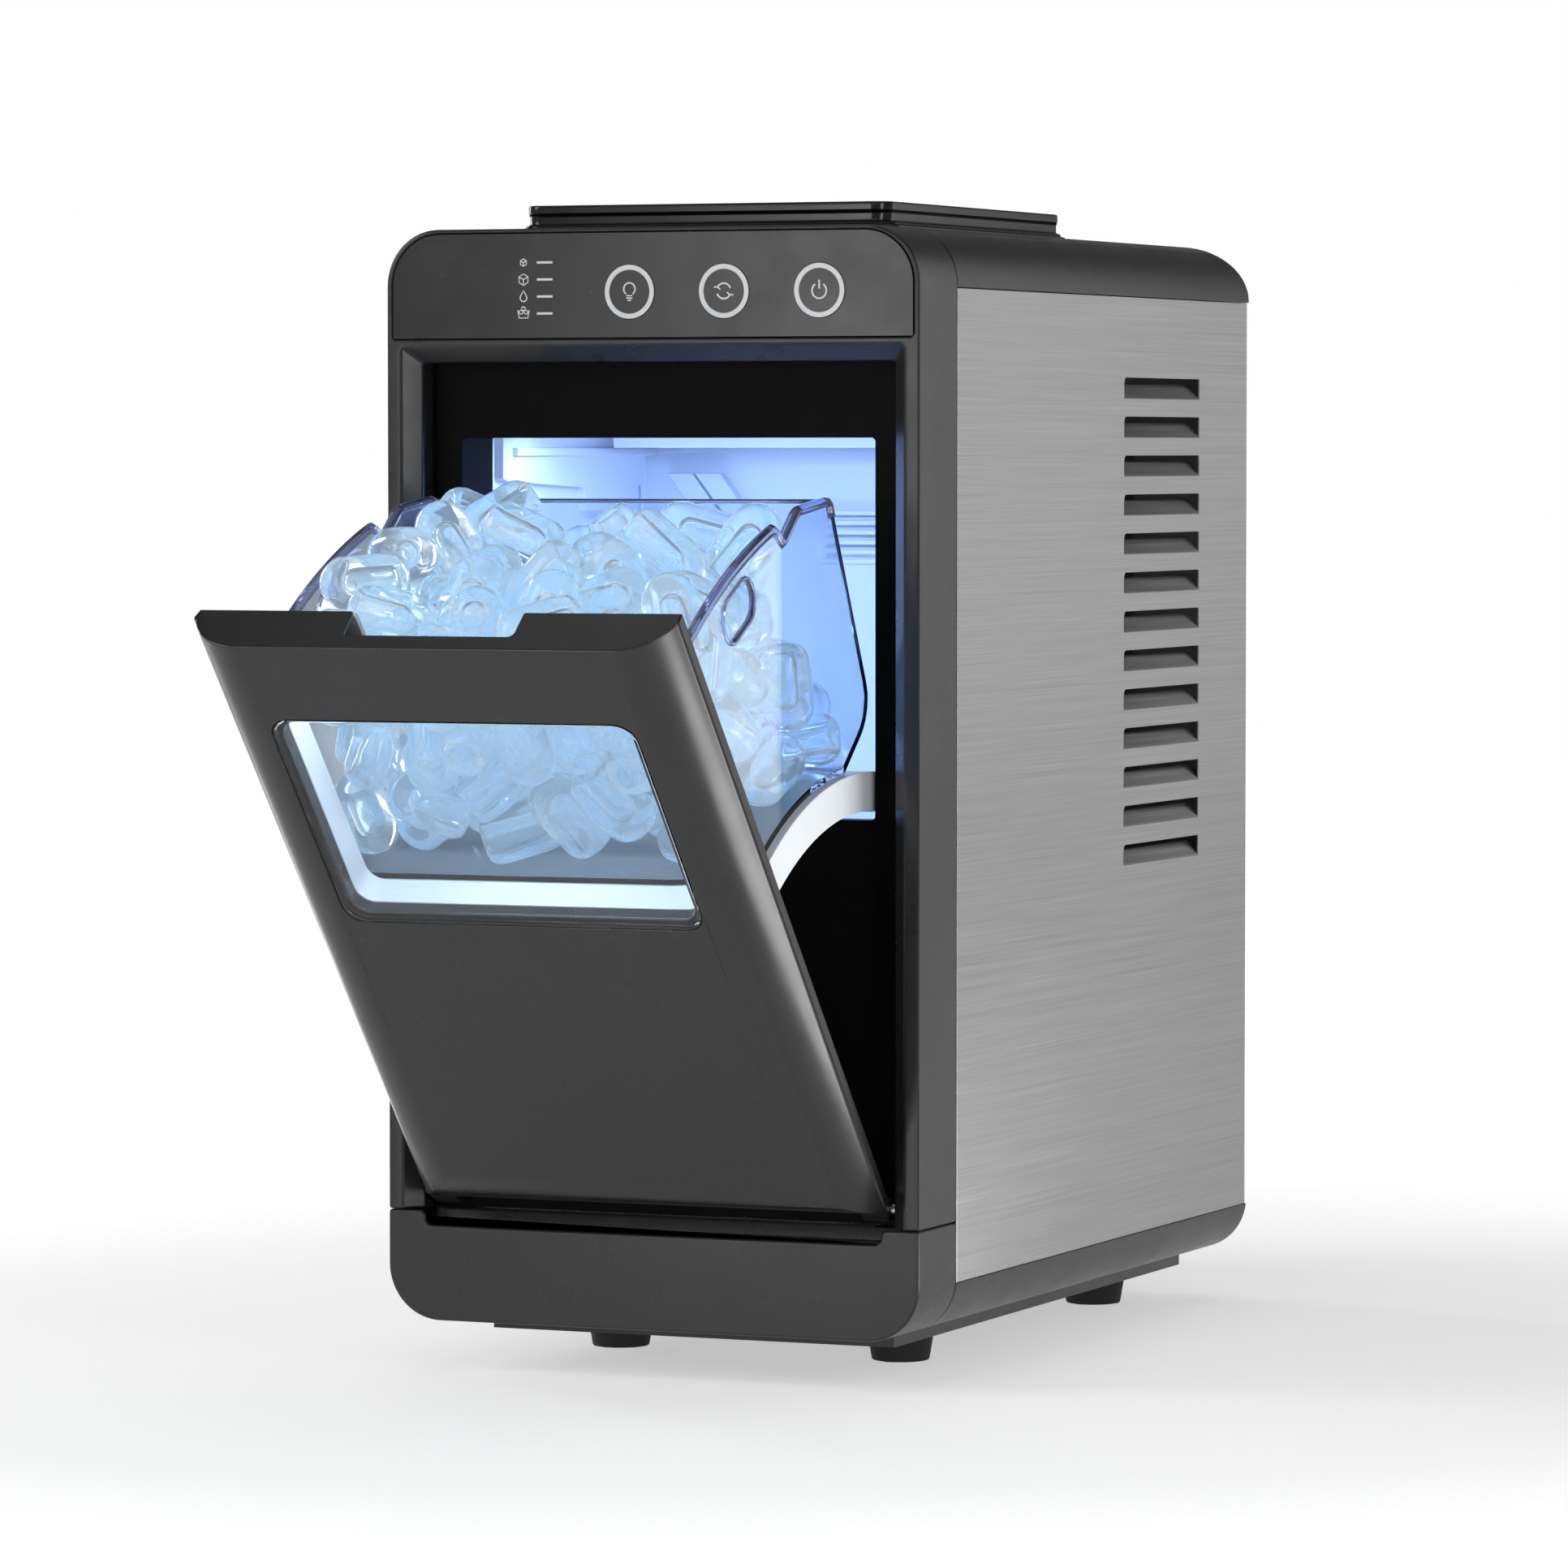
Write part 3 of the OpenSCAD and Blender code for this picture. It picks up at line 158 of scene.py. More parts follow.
def metal(name, colour, roughness, grain=260, depth=0.01):
    """Plain metal with a drifting shade and uneven polish; depth of its grain in mm."""
    s = Shader(name, Metallic=1.0)
    drift = s.spread(s.noise(30, 5), 0, 1)
    s.link(s.tint(drift, scaled(colour, 0.85), scaled(colour, 1.1)), s.bsdf.inputs["Base Color"])
    s.link(s.spread(s.noise(80, 5), roughness - 0.06, roughness + 0.08), s.bsdf.inputs["Roughness"])
    s.bump(s.noise(grain, 3), depth * MM, 0.5)
    return s.material


def clear(name, colour, roughness, ior, weight=1.0):
    """Clear plastic with faint flow marks from its mould."""
    s = Shader(name, IOR=ior)
    s.bsdf.inputs["Transmission Weight"].default_value = weight
    drift = s.spread(s.noise(14, 2), 0, 1)
    s.link(s.tint(drift, scaled(colour, 0.98), scaled(colour, 1.0)), s.bsdf.inputs["Base Color"])
    s.link(s.spread(s.noise(60, 3), roughness * 0.6, roughness * 1.4), s.bsdf.inputs["Roughness"])
    s.bump(s.noise(70, 2), 0.03 * MM, 0.4)
    return s.material


def ice_material():
    """Wet bullet ice: clear skin, cloudy patches, small trapped bubbles and a faint painted blue glow."""
    s = Shader("ice", IOR=1.31)
    cloud = s.noise(55, 4, roughness=0.6)
    bubbles = s.noise(420, 2)
    tone = s.tint(s.spread(cloud, 0, 1), (0.74, 0.89, 1.0), (0.94, 0.98, 1.0))
    s.link(tone, s.bsdf.inputs["Base Color"])
    s.link(s.spread(cloud, 0.94, 0.62, 0.42, 0.72), s.bsdf.inputs["Transmission Weight"])
    s.link(s.spread(bubbles, 0.03, 0.12, 0.45, 0.7), s.bsdf.inputs["Roughness"])
    # Painted glow: the ice gives off a faint blue light of its own, standing in for the light it catches from the
    # chamber.
    s.bsdf.inputs["Emission Color"].default_value = (0.52, 0.74, 0.96, 1)
    s.bsdf.inputs["Emission Strength"].default_value = 0.09
    s.bump(s.noise(90, 3), 0.15 * MM, 0.4)
    return s.material


def lamp_material():
    """Diffuser of the chamber's lamp, brighter in some spots than in others."""
    s = Shader("lamp_diffuser", Roughness=0.5)
    s.bsdf.inputs["Base Color"].default_value = (0.8, 0.9, 1, 1)
    s.bsdf.inputs["Emission Color"].default_value = (0.45, 0.68, 1.0, 1)
    s.link(s.spread(s.noise(90, 2), 0.7, 1.0), s.bsdf.inputs["Emission Strength"])
    return s.material


MATERIALS = {
    "dark_plastic": moulded("dark_plastic", (0.017, 0.017, 0.017), 0.29, 150, 0.014),
    "overlay_plastic": moulded("overlay_plastic", (0.015, 0.015, 0.015), 0.25, 120, 0.010),
    "button_plastic": moulded("button_plastic", (0.015, 0.015, 0.015), 0.25, 120, 0.010),
    # Near-black and with almost no reflection, darker than the other black plastics: painted shade for the frame
    # set back in the recess round the chamber.
    "frame_plastic": moulded("frame_plastic", (0.004, 0.004, 0.004), 0.34, 150, 0.014,
                             Specular_IOR_Level=0.03),
    "lid_plastic": moulded("lid_plastic", (0.006, 0.006, 0.006), 0.2, 120, 0.010),
    "white_plastic": moulded("white_plastic", (0.84, 0.88, 0.93), 0.32, 500, 0.006),
    "clear_plastic": clear("clear_plastic", (0.90, 0.95, 1.0), 0.03, 1.42),
    "window_plastic": clear("window_plastic", (0.93, 0.97, 1.0), 0.02, 1.42),
    "light_guide": clear("light_guide", (0.75, 0.86, 1.0), 0.35, 1.45, 0.5),
    "lamp": lamp_material(),
    "brushed_steel": brushed("brushed_steel", (0.46, 0.46, 0.46)),
    "zinc_steel": metal("zinc_steel", (0.44, 0.45, 0.46), 0.45, 120, 0.03),
    "screw_steel": metal("screw_steel", (0.5, 0.5, 0.52), 0.3),
    "pin_steel": metal("pin_steel", (0.6, 0.6, 0.61), 0.22),
    "rubber": moulded("rubber", (0.015, 0.015, 0.015), 0.7, 600, 0.05),
    "black_plastic": moulded("black_plastic", (0.02, 0.02, 0.021), 0.45),
    "grey_plastic": moulded("grey_plastic", (0.28, 0.28, 0.29), 0.45),
    "foam": moulded("foam", (0.85, 0.85, 0.82), 0.8, 420, 0.2),
    "aluminium": metal("aluminium", (0.7, 0.71, 0.72), 0.35, 500, 0.02),
    "nickel": metal("nickel", (0.66, 0.66, 0.64), 0.25),
    "copper": metal("copper", (0.62, 0.30, 0.17), 0.3),
    "brass": metal("brass", (0.70, 0.55, 0.28), 0.3),
    "black_enamel": moulded("black_enamel", (0.014, 0.014, 0.015), 0.3, 160, 0.03),
    "circuit": moulded("circuit", (0.03, 0.14, 0.07), 0.35, 700, 0.02),
    "silicone": moulded("silicone", (0.6, 0.61, 0.61), 0.45, 500, 0.01),
}
ICE = ice_material()
# Darker purple copy of the basket's clear plastic for the side walls' beads: painted shade along those edges.
RIM_SHADE_TINT = clear("rim_painted_shade", (0.56, 0.60, 0.86), 0.05, 1.5, 0.92)
# Lighter blue copy for the rear wall's beads: a painted light-blue line along those edges.
EDGE_SHEEN_TINT = clear("edge_painted_sheen", (0.74, 0.84, 1.0), 0.05, 1.45, 0.95)
PRINT = moulded("pale_print", (0.72, 0.73, 0.74), 0.4, 1200, 0.004)

# ---- CAD pieces: edges and finish --------------------------------------------------


def angle_shading(limit):
    """Node group that shades faces smooth and keeps the edges above an angle sharp."""
    group = bpy.data.node_groups.new("smooth_under_angle", "GeometryNodeTree")
    group.interface.new_socket("Geometry", in_out="INPUT", socket_type="NodeSocketGeometry")
    group.interface.new_socket("Geometry", in_out="OUTPUT", socket_type="NodeSocketGeometry")
    n = group.nodes
    start, end = n.new("NodeGroupInput"), n.new("NodeGroupOutput")
    faces, edges = n.new("GeometryNodeSetShadeSmooth"), n.new("GeometryNodeSetShadeSmooth")
    edges.domain = "EDGE"
    edges.inputs["Shade Smooth"].default_value = False
    angle = n.new("GeometryNodeInputMeshEdgeAngle")
    compare = n.new("FunctionNodeCompare")
    compare.inputs["B"].default_value = limit
    link = group.links.new
    link(start.outputs[0], faces.inputs["Geometry"])
    link(faces.outputs[0], edges.inputs["Geometry"])
    link(angle.outputs["Unsigned Angle"], compare.inputs["A"])
    link(compare.outputs[0], edges.inputs["Selection"])
    link(edges.outputs[0], end.inputs[0])
    return group


SHADING = angle_shading(math.radians(33))
WELD_GAP = 0.01
FLAT_ANGLE = math.radians(0.5)
BEVEL_ANGLE = math.radians(38)


def finish_edges(piece, width, segments=2, weld=True, flats=False):
    """Rounds the sharp edges of a piece by width in mm; flats first joins the triangles of flat faces."""
    if weld:
        modifier = piece.modifiers.new("weld", "WELD")
        modifier.merge_threshold = WELD_GAP * MM
    if flats:
        modifier = piece.modifiers.new("flats", "DECIMATE")
        modifier.decimate_type = "DISSOLVE"
        modifier.angle_limit = FLAT_ANGLE
    if width:
        modifier = piece.modifiers.new("bevel", "BEVEL")
        modifier.width = width * MM
        modifier.segments = segments
        modifier.limit_method = "ANGLE"
        modifier.angle_limit = BEVEL_ANGLE
        modifier.use_clamp_overlap = False
        modifier.miter_outer = "MITER_ARC"
    modifier = piece.modifiers.new("shading", "NODES")
    modifier.node_group = SHADING
    piece.modifiers.new("normals", "WEIGHTED_NORMAL").keep_sharp = True


# Arguments of finish_edges for the nodes whose edges show
BEVELS = {
    "front_bezel": (1.1, 3), "lower_fascia": (1.1, 3, True, True), "chamber_frame": (0.5, 2),
    "door_shell": (0.8, 3), "top_cover": (0.7, 3), "top_lid": (0.9, 3), "base_skirt": (0.6, 2),
    "feet": (0.8, 3), "light_button": (0.35, 2), "select_button": (0.35, 2), "power_button": (0.35, 2),
    "ice_basket": (0.5, 2), "bin_carrier": (0.7, 2), "door_liner": (0.5, 2), "door_window": (0.9, 3),
    "left_side_panel": (0.15, 1), "right_side_panel": (0.15, 1), "power_inlet": (0.6, 2),
    "chamber_liner": (0.4, 1), "fan_shroud": (0.4, 1), "drain_plug": (0.5, 2),
}
SLOTS = {p["node"]: p["material_slot"] for p in frame["record"]["subparts"]}

for name, piece in frame["nodes"].items():
    for material_slot in piece.material_slots:
        material_slot.link = "OBJECT"
        material_slot.material = MATERIALS[SLOTS[name]]
    finish_edges(piece, *BEVELS.get(name, (0, 0)))

# ---- New pieces --------------------------------------------------------------------


def put_in_scene(name, data):
    """Object made from a mesh, camera or light and linked to the scene."""
    thing = bpy.data.objects.new(name, data)
    bpy.context.scene.collection.objects.link(thing)
    return thing


def add_piece(name, mesh, material, body, smooth=True):
    """Links a mesh as a piece that rides on a body."""
    piece = put_in_scene(name, mesh)
    mesh.materials.append(material)
    for polygon in mesh.polygons:
        polygon.use_smooth = smooth
    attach(piece, body)
    return piece


def mesh_of(name, build):
    """Mesh filled by build(bm), with merged points and outward normals."""
    bm = bmesh.new()
    build(bm)
    bmesh.ops.remove_doubles(bm, verts=bm.verts, dist=1e-7)
    bmesh.ops.recalc_face_normals(bm, faces=bm.faces)
    mesh = bpy.data.meshes.new(name)
    bm.to_mesh(mesh)
    bm.free()
    return mesh


# Section of a printed line: across it in widths, out from the surface in heights
LINE_SECTION = [(-0.5, 0), (-0.5, 0.6), (-0.36, 1), (0.36, 1), (0.5, 0.6), (0.5, 0)]


def strip(bm, points, width, base, height, closed=False):
    """Raised line in x and z with a crowned section, standing towards -Y from base; all in mm."""
    points = [np.array(p, float) for p in points]
    count = len(points)
    rows = []
    for i, p in enumerate(points):
        before = points[i - 1] if i or closed else p
        after = points[(i + 1) % count] if i < count - 1 or closed else p
        along = after - before
        along /= np.linalg.norm(along)
        side = np.array([-along[1], along[0]])
        rows.append([
            bm.verts.new((
                (p[0] + side[0] * a * width) * MM, FRONT + (base - b * height) * MM,
                (p[1] + side[1] * a * width) * MM))
            for a, b in LINE_SECTION])
    last = count if closed else count - 1
    for i in range(last):
        a, b = rows[i], rows[(i + 1) % count]
        for k in range(len(a)):
            n = (k + 1) % len(a)
            bm.faces.new((a[k], a[n], b[n], b[k]))
    if not closed:
        bm.faces.new(rows[0])
        bm.faces.new(rows[-1])


def arc(x, z, r, start, end, steps=40):
    """Points on an arc about (x, z); angles in degrees from +x towards +z."""
    return [(x + r * math.cos(math.radians(start + (end - start) * i / steps)),
             z + r * math.sin(math.radians(start + (end - start) * i / steps))) for i in range(steps + 1)]


def centre_mm(node):
    """Middle of a node's box in x and z, in mm."""
    low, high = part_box(node)
    return (low.x + high.x) / 2 / MM, (low.z + high.z) / 2 / MM


RING_R, RING_W, RING_H = 9.9, 2.0, 0.16
PRINT_H = 0.09
# Face of a button behind the bezel's front plane, in mm
CAP = (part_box("light_button")[0].y - FRONT) / MM


def lamp_icon(bm, x, z):
    """Bulb above three bars."""
    strip(bm, arc(x, z + 1.1, 2.5, -55, 235), 0.6, CAP, PRINT_H)
    for i, half in enumerate((1.3, 1.3, 0.8)):
        strip(bm, [(x - half, z - 1.6 - 0.95 * i), (x + half, z - 1.6 - 0.95 * i)], 0.5, CAP, PRINT_H)


ICON_R, ICON_W = 3.1, 0.65


def cycle_icon(bm, x, z):
    """Two arrows chasing each other round a circle."""
    for turn in (0, 180):
        strip(bm, arc(x, z, ICON_R, 20 + turn, 150 + turn), ICON_W, CAP, PRINT_H)
        tip = math.radians(150 + turn)
        tx, tz = x + ICON_R * math.cos(tip), z + ICON_R * math.sin(tip)
        for bend in (0.45, 1.65):
            way = tip + math.pi / 2 + math.pi * bend
            strip(bm, [(tx, tz), (tx + 1.6 * math.cos(way), tz + 1.6 * math.sin(way))], 0.6, CAP, PRINT_H)


def power_icon(bm, x, z):
    """Open circle with an upright bar."""
    strip(bm, arc(x, z - 0.2, ICON_R, 125, 415), ICON_W, CAP, PRINT_H)
    strip(bm, [(x, z + 0.6), (x, z + 4.1)], ICON_W, CAP, PRINT_H)


BUTTON_ICONS = {"light_button": lamp_icon, "select_button": cycle_icon, "power_button": power_icon}
for button, icon in BUTTON_ICONS.items():
    bx, bz = centre_mm(button)

    def draw(bm, bx=bx, bz=bz, icon=icon):
        strip(bm, arc(bx, bz, RING_R, 0, 360, 96)[:-1], RING_W, CAP, RING_H, closed=True)
        icon(bm, bx, bz)

    add_piece(button + "_print", mesh_of(button + "_print", draw), PRINT, button, False)

STATUS_H = 0.07


def cube_icon(bm, x, z, r):
    """Outline of a cube seen from a corner."""
    turns = [math.radians(a) for a in range(30, 390, 60)]
    corners = [(x + r * math.cos(t), z + r * math.sin(t)) for t in turns]
    strip(bm, corners, 0.42, 0, STATUS_H, closed=True)
    for k in (0, 2, 4):
        strip(bm, [(x, z), corners[k]], 0.42, 0, STATUS_H)


def drop_icon(bm, x, z):
    """Outline of a drop of water."""
    outline = arc(x, z - 0.5, 1.5, -215, 35, 24)
    strip(bm, outline + [(x, z + 2.4)], 0.45, 0, STATUS_H, closed=True)


def bin_icon(bm, x, z):
    """Open bin heaped with three balls."""
    outline = [(x - 2.6, z + 1.4), (x - 1.9, z - 1.8), (x + 1.9, z - 1.8), (x + 2.6, z + 1.4)]
    strip(bm, outline, 0.45, 0, STATUS_H)
    for dx, dz in ((-1.1, 0.6), (1.1, 0.6), (0, 2.0)):
        strip(bm, arc(x + dx, z + dz, 0.8, 0, 360, 16)[:-1], 0.4, 0, STATUS_H, closed=True)


def status_icons(bm):
    """Four symbols with a bar each, in line with the four indicator lights."""
    low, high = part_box("indicator_lights")
    x = (low.x + high.x) / 2 / MM
    light_r = 1.4
    top, bottom = high.z / MM - light_r, low.z / MM + light_r
    for i, draw_icon in enumerate((
            lambda b, px, pz: cube_icon(b, px, pz, 1.5), lambda b, px, pz: cube_icon(b, px, pz, 2.3),
            drop_icon, bin_icon)):
        z = top + (bottom - top) * i / 3
        draw_icon(bm, x - 6, z)
        strip(bm, [(x, z), (x + 7, z)], 0.9, 0, STATUS_H)


add_piece("status_icons", mesh_of("status_icons", status_icons), PRINT, "cabinet", False)

# ---- Ice ---------------------------------------------------------------------------

# One piece of ice: radius, and distance between the centres of its two round ends
BULLET_R = 11.4
CORE = 15.0
BULLETS = 132
# Inside of the bin with the door closed, in mm from the hinge: w into the cabinet, u up
BASKET_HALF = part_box("ice_basket")[1].x / MM - 0.8 - 2.0
BIN_FRONT, BIN_FLOOR = 6.4, 146.6
BIN_INNER_R, BIN_OUTER_R = 179.0, 299.0
REAR_WALL_W, REAR_WALL_U = 159.4, 236
REAR_LEAN = math.atan(18.5 / 76)
# Top of the heap with the door open: a slope through a point, and a level above which there is no ice
HEAP_Y, HEAP_Z = -196, 250
HEAP_RISE = math.radians(19)
HEAP_LIMIT = 298


def bin_walls(points, radius):
    """Pushes points back into the space that ice may fill, closed-door coordinates in mm."""
    x, w, u = points.T
    np.clip(x, -BASKET_HALF + radius, BASKET_HALF - radius, out=x)
    np.maximum(w, BIN_FRONT + radius, out=w)
    np.maximum(u, BIN_FLOOR + radius, out=u)
    r = np.hypot(w, u)
    inner, outer = BIN_INNER_R + radius, BIN_OUTER_R - radius
    k = np.where(r < inner, inner / r, np.where(r > outer, outer / r, 1))
    w *= k
    u *= k
    depth = (w - REAR_WALL_W) * math.cos(REAR_LEAN) - (u - REAR_WALL_U) * math.sin(REAR_LEAN) + radius
    out = np.maximum(depth, 0)
    w -= out * math.cos(REAR_LEAN)
    u += out * math.sin(REAR_LEAN)
    y, z = w * COS - u * SIN, w * SIN + u * COS
    over = (z - HEAP_Z) * math.cos(HEAP_RISE) - (y - HEAP_Y) * math.sin(HEAP_RISE) + radius
    over = np.maximum(over, 0)
    y += over * math.sin(HEAP_RISE)
    z -= over * math.cos(HEAP_RISE)
    z = np.minimum(z, HEAP_LIMIT - radius)
    w[:], u[:] = y * COS + z * SIN, -y * SIN + z * COS


def pack_bullets(count, steps, seed=11):
    """Lets capsules grow among each other inside the bin; gives their ends and each one's worst overlap."""
    rng = np.random.default_rng(seed)
    tries = 9 * count
    centre = np.column_stack([rng.uniform(-72, 72, tries), rng.uniform(10, 150, tries),
                              rng.uniform(155, 300, tries)])
    held = centre.copy()
    bin_walls(held, BULLET_R * 0.9)
    centre = centre[np.abs(held - centre).max(1) < 1.0][:count]
    count = len(centre)
    axis = rng.normal(size=(count, 3))
    axis /= np.linalg.norm(axis, axis=1)[:, None]
    ends = np.stack([centre - axis * CORE / 2, centre + axis * CORE / 2])
    owner = np.tile(np.arange(count), 3)
    apart = owner[:, None] != owner[None, :]
    pull = np.array([0, -SIN, -COS]) * 0.08
    for step in range(steps):
        if step < steps * 0.6:
            ends += pull
        radius = BULLET_R * min(1.0, 0.55 + 0.5 * step / (steps * 0.7))
        balls = np.concatenate([ends[0], ends.mean(0), ends[1]])
        gap = balls[:, None] - balls[None, :]
        far = np.linalg.norm(gap, axis=2) + 1e-6
        overlap = np.where(apart, np.maximum(2 * radius - far, 0), 0)
        push = (gap / far[..., None] * (overlap * 0.22)[..., None]).sum(1)
        push = push.reshape(3, count, 3)
        ends[0] += push[0] + push[1] / 2
        ends[1] += push[2] + push[1] / 2
        middle, across = ends.mean(0), ends[1] - ends[0]
        across *= CORE / 2 / np.linalg.norm(across, axis=1)[:, None]
        ends[0], ends[1] = middle - across, middle + across
        for end in ends:
            bin_walls(end, radius)
    worst = overlap.max(1).reshape(3, count).max(0)
    return ends, worst


def bullet_shape(segments=22):
    """Points and faces of one bullet of ice: round tip, open end with a deep round hole."""
    straight = CORE / 2
    profile = [(0, 8.6), (2.4, 8.0), (3.9, 6.2), (4.5, 3.5), (4.7, -4), (4.9, -13.5), (5.5, -16.6),
               (6.9, -18.1), (8.6, -17.8), (10.2, -16.0), (11.1, -13.0), (BULLET_R, -8.5), (BULLET_R, 0),
               (BULLET_R, straight)]
    profile += [(BULLET_R * math.cos(t), straight + BULLET_R * math.sin(t))
                for t in np.radians([12, 24, 36, 48, 60, 72, 82, 90])]
    points, faces = [], []
    for r, z in profile[1:-1]:
        points += [(r * math.cos(a), r * math.sin(a), z)
                   for a in np.arange(segments) * 2 * math.pi / segments]
    rows = len(profile) - 2
    for i in range(rows - 1):
        low, high = i * segments, (i + 1) * segments
        for k in range(segments):
            n = (k + 1) % segments
            faces.append((low + k, low + n, high + n, high + k))
    points += [(0, 0, profile[0][1]), (0, 0, profile[-1][1])]
    bottom, tip = len(points) - 2, len(points) - 1
    last = (rows - 1) * segments
    for k in range(segments):
        n = (k + 1) % segments
        faces.append((bottom, n, k))
        faces.append((last + k, last + n, tip))
    return np.array(points), faces


def build_ice():
    """The heap of ice in the basket, without the pieces that found no room."""
    ends, worst = pack_bullets(BULLETS, 420)
    rng = np.random.default_rng(5)
    shape, faces = bullet_shape()
    most_overlap = 6.5
    points, all_faces = [], []
    for a, b, bad in zip(ends[0], ends[1], worst):
        if bad > most_overlap:
            continue
        axis = Vector(b - a).normalized()
        turn = axis.to_track_quat("Z", "Y").to_matrix()
        turn = np.array(turn @ Matrix.Rotation(rng.uniform(0, 6.28), 3, "Z"))
        size = rng.uniform(0.93, 1.0)
        ripple = 1 + 0.018 * np.sin(shape[:, 2] * 0.9 + rng.uniform(0, 6))
        local = shape * np.column_stack([ripple, ripple, np.ones(len(shape))]) * size
        placed = local @ turn.T + (a + b) / 2
        start = len(points)
        points += [swung(*p) for p in placed]
        all_faces += [tuple(start + i for i in f) for f in faces]
    mesh = bpy.data.meshes.new("ice_cubes")
    mesh.from_pydata(points, [], all_faces)
    mesh.update()
    add_piece("ice_cubes", mesh, ICE, "basket")
    print("ice pieces", len(points) // len(shape), "worst overlap", round(float(worst.max()), 2))


build_ice()

# ---- Basket's rims and the chamber's inner relief ----------------------------------


def tube(bm, points, place, half_x, half_n, closed=False, sides=14):
    """Rounded bead along a path in a plane x = constant; place(dx, a, b) gives a vertex in metres."""
    points = [np.array(p, float) for p in points]
    count = len(points)
    rows = []
    for i, p in enumerate(points):
        before = points[i - 1] if i or closed else 2 * p - points[1]
        after = points[(i + 1) % count] if i < count - 1 or closed else 2 * p - points[i - 1]
        one, two = (p - before) / np.linalg.norm(p - before), (after - p) / np.linalg.norm(after - p)
        along = (one + two) / np.linalg.norm(one + two)
        normal = np.array([-along[1], along[0]]) / max(0.5, float(along @ one))
        ring = []
        for k in range(sides):
            turn = 2 * math.pi * k / sides
            at = p + normal * half_n * math.sin(turn)
            ring.append(bm.verts.new(place(half_x * math.cos(turn), at[0], at[1])))
        rows.append(ring)
    for i in range(count if closed else count - 1):
        a, b = rows[i], rows[(i + 1) % count]
        for k in range(sides):
            n = (k + 1) % sides
            bm.faces.new((a[k], a[n], b[n], b[k]))
    if not closed:
        bm.faces.new(rows[0])
        bm.faces.new(rows[-1])


def rounded(points, r, steps=5):
    """Path with its inner corners rounded."""
    points = [np.array(p, float) for p in points]
    path = [points[0]]
    for a, b, c in zip(points, points[1:], points[2:]):
        cut = min(r, np.linalg.norm(b - a) / 2.2, np.linalg.norm(c - b) / 2.2)
        start = b + (a - b) / np.linalg.norm(a - b) * cut
        end = b + (c - b) / np.linalg.norm(c - b) * cut
        for i in range(steps + 1):
            t = i / steps
            path.append(start * (1 - t) ** 2 + b * 2 * t * (1 - t) + end * t ** 2)
    return path + [points[-1]]


RIM_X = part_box("ice_basket")[1].x / MM - 1.8


def on_wall(side):
    """Placing function for a path in the basket's left (-1) or right (1) side wall."""
    return lambda dx, w, u: swung(side * RIM_X + dx, w, u)


def grip_path():
    """Outline of a side wall's grip hole: a slot with round ends, leaning forward."""
    mid_w, mid_u, half, end_r, lean = 64.5, 264.3, 7, 9.2, math.radians(-12)
    path = []
    for sign in (1, -1):
        for t in np.linspace(-90, 90, 15):
            a = math.radians(t)
            px, pz = sign * (half + end_r * math.cos(a)), sign * end_r * math.sin(a)
            path.append((mid_w + px * math.cos(lean) - pz * math.sin(lean),
                         mid_u + px * math.sin(lean) + pz * math.cos(lean)))
    return path


def basket_rims(bm):
    """Beads along the tops of the basket's side walls and round their grips."""
    rim_r = 288
    top = [(rim_r * math.sin(t), rim_r * math.cos(t))
           for t in np.linspace(math.asin(6 / rim_r), math.asin(110 / rim_r), 26)]
    corner = [top[-1], (112.6, 262), (113.5, 255.3), (133.5, 255.3), (160.2, 237.6), (158.6, 231)]
    for side in (-1, 1):
        tube(bm, top[:-1] + rounded(corner, 3.0), on_wall(side), 2.3, 2.1)
        tube(bm, grip_path(), on_wall(side), 1.6, 1.1, closed=True)


# The side walls' beads wear the darker copy, painted shade.
add_piece("basket_rims", mesh_of("basket_rims", basket_rims), RIM_SHADE_TINT, "basket")


def rear_rim(bm):
    """Beads along the top and the two upright edges of the basket's rear wall."""
    bead_r, sides = 0.9, 12
    section = [(bead_r * math.cos(t), bead_r * math.sin(t))
               for t in np.linspace(0, 2 * math.pi, sides, endpoint=False)]
    rows = [[bm.verts.new(swung(x, 160.2 + a, 237.4 + b)) for a, b in section]
            for x in np.linspace(-RIM_X, RIM_X, 9)]
    for one, two in zip(rows, rows[1:]):
        for k in range(sides):
            n = (k + 1) % sides
            bm.faces.new((one[k], one[n], two[n], two[k]))
    bm.faces.new(rows[0])
    bm.faces.new(rows[-1])
    for side in (-1, 1):
        tube(bm, [(158.6, 230), (143.0, 168)], on_wall(side), bead_r, bead_r)


# The rear wall's beads wear the lighter copy, a painted light-blue line.
add_piece("basket_rear_rim", mesh_of("basket_rear_rim", rear_rim), EDGE_SHEEN_TINT, "basket")


def prism(bm, outline, place):
    """Closed slab between place(point, 0) and place(point, 1)."""
    low = [bm.verts.new(place(p, 0)) for p in outline]
    high = [bm.verts.new(place(p, 1)) for p in outline]
    bm.faces.new(low)
    bm.faces.new(high)
    for i in range(len(outline)):
        n = (i + 1) % len(outline)
        bm.faces.new((low[i], low[n], high[n], high[i]))


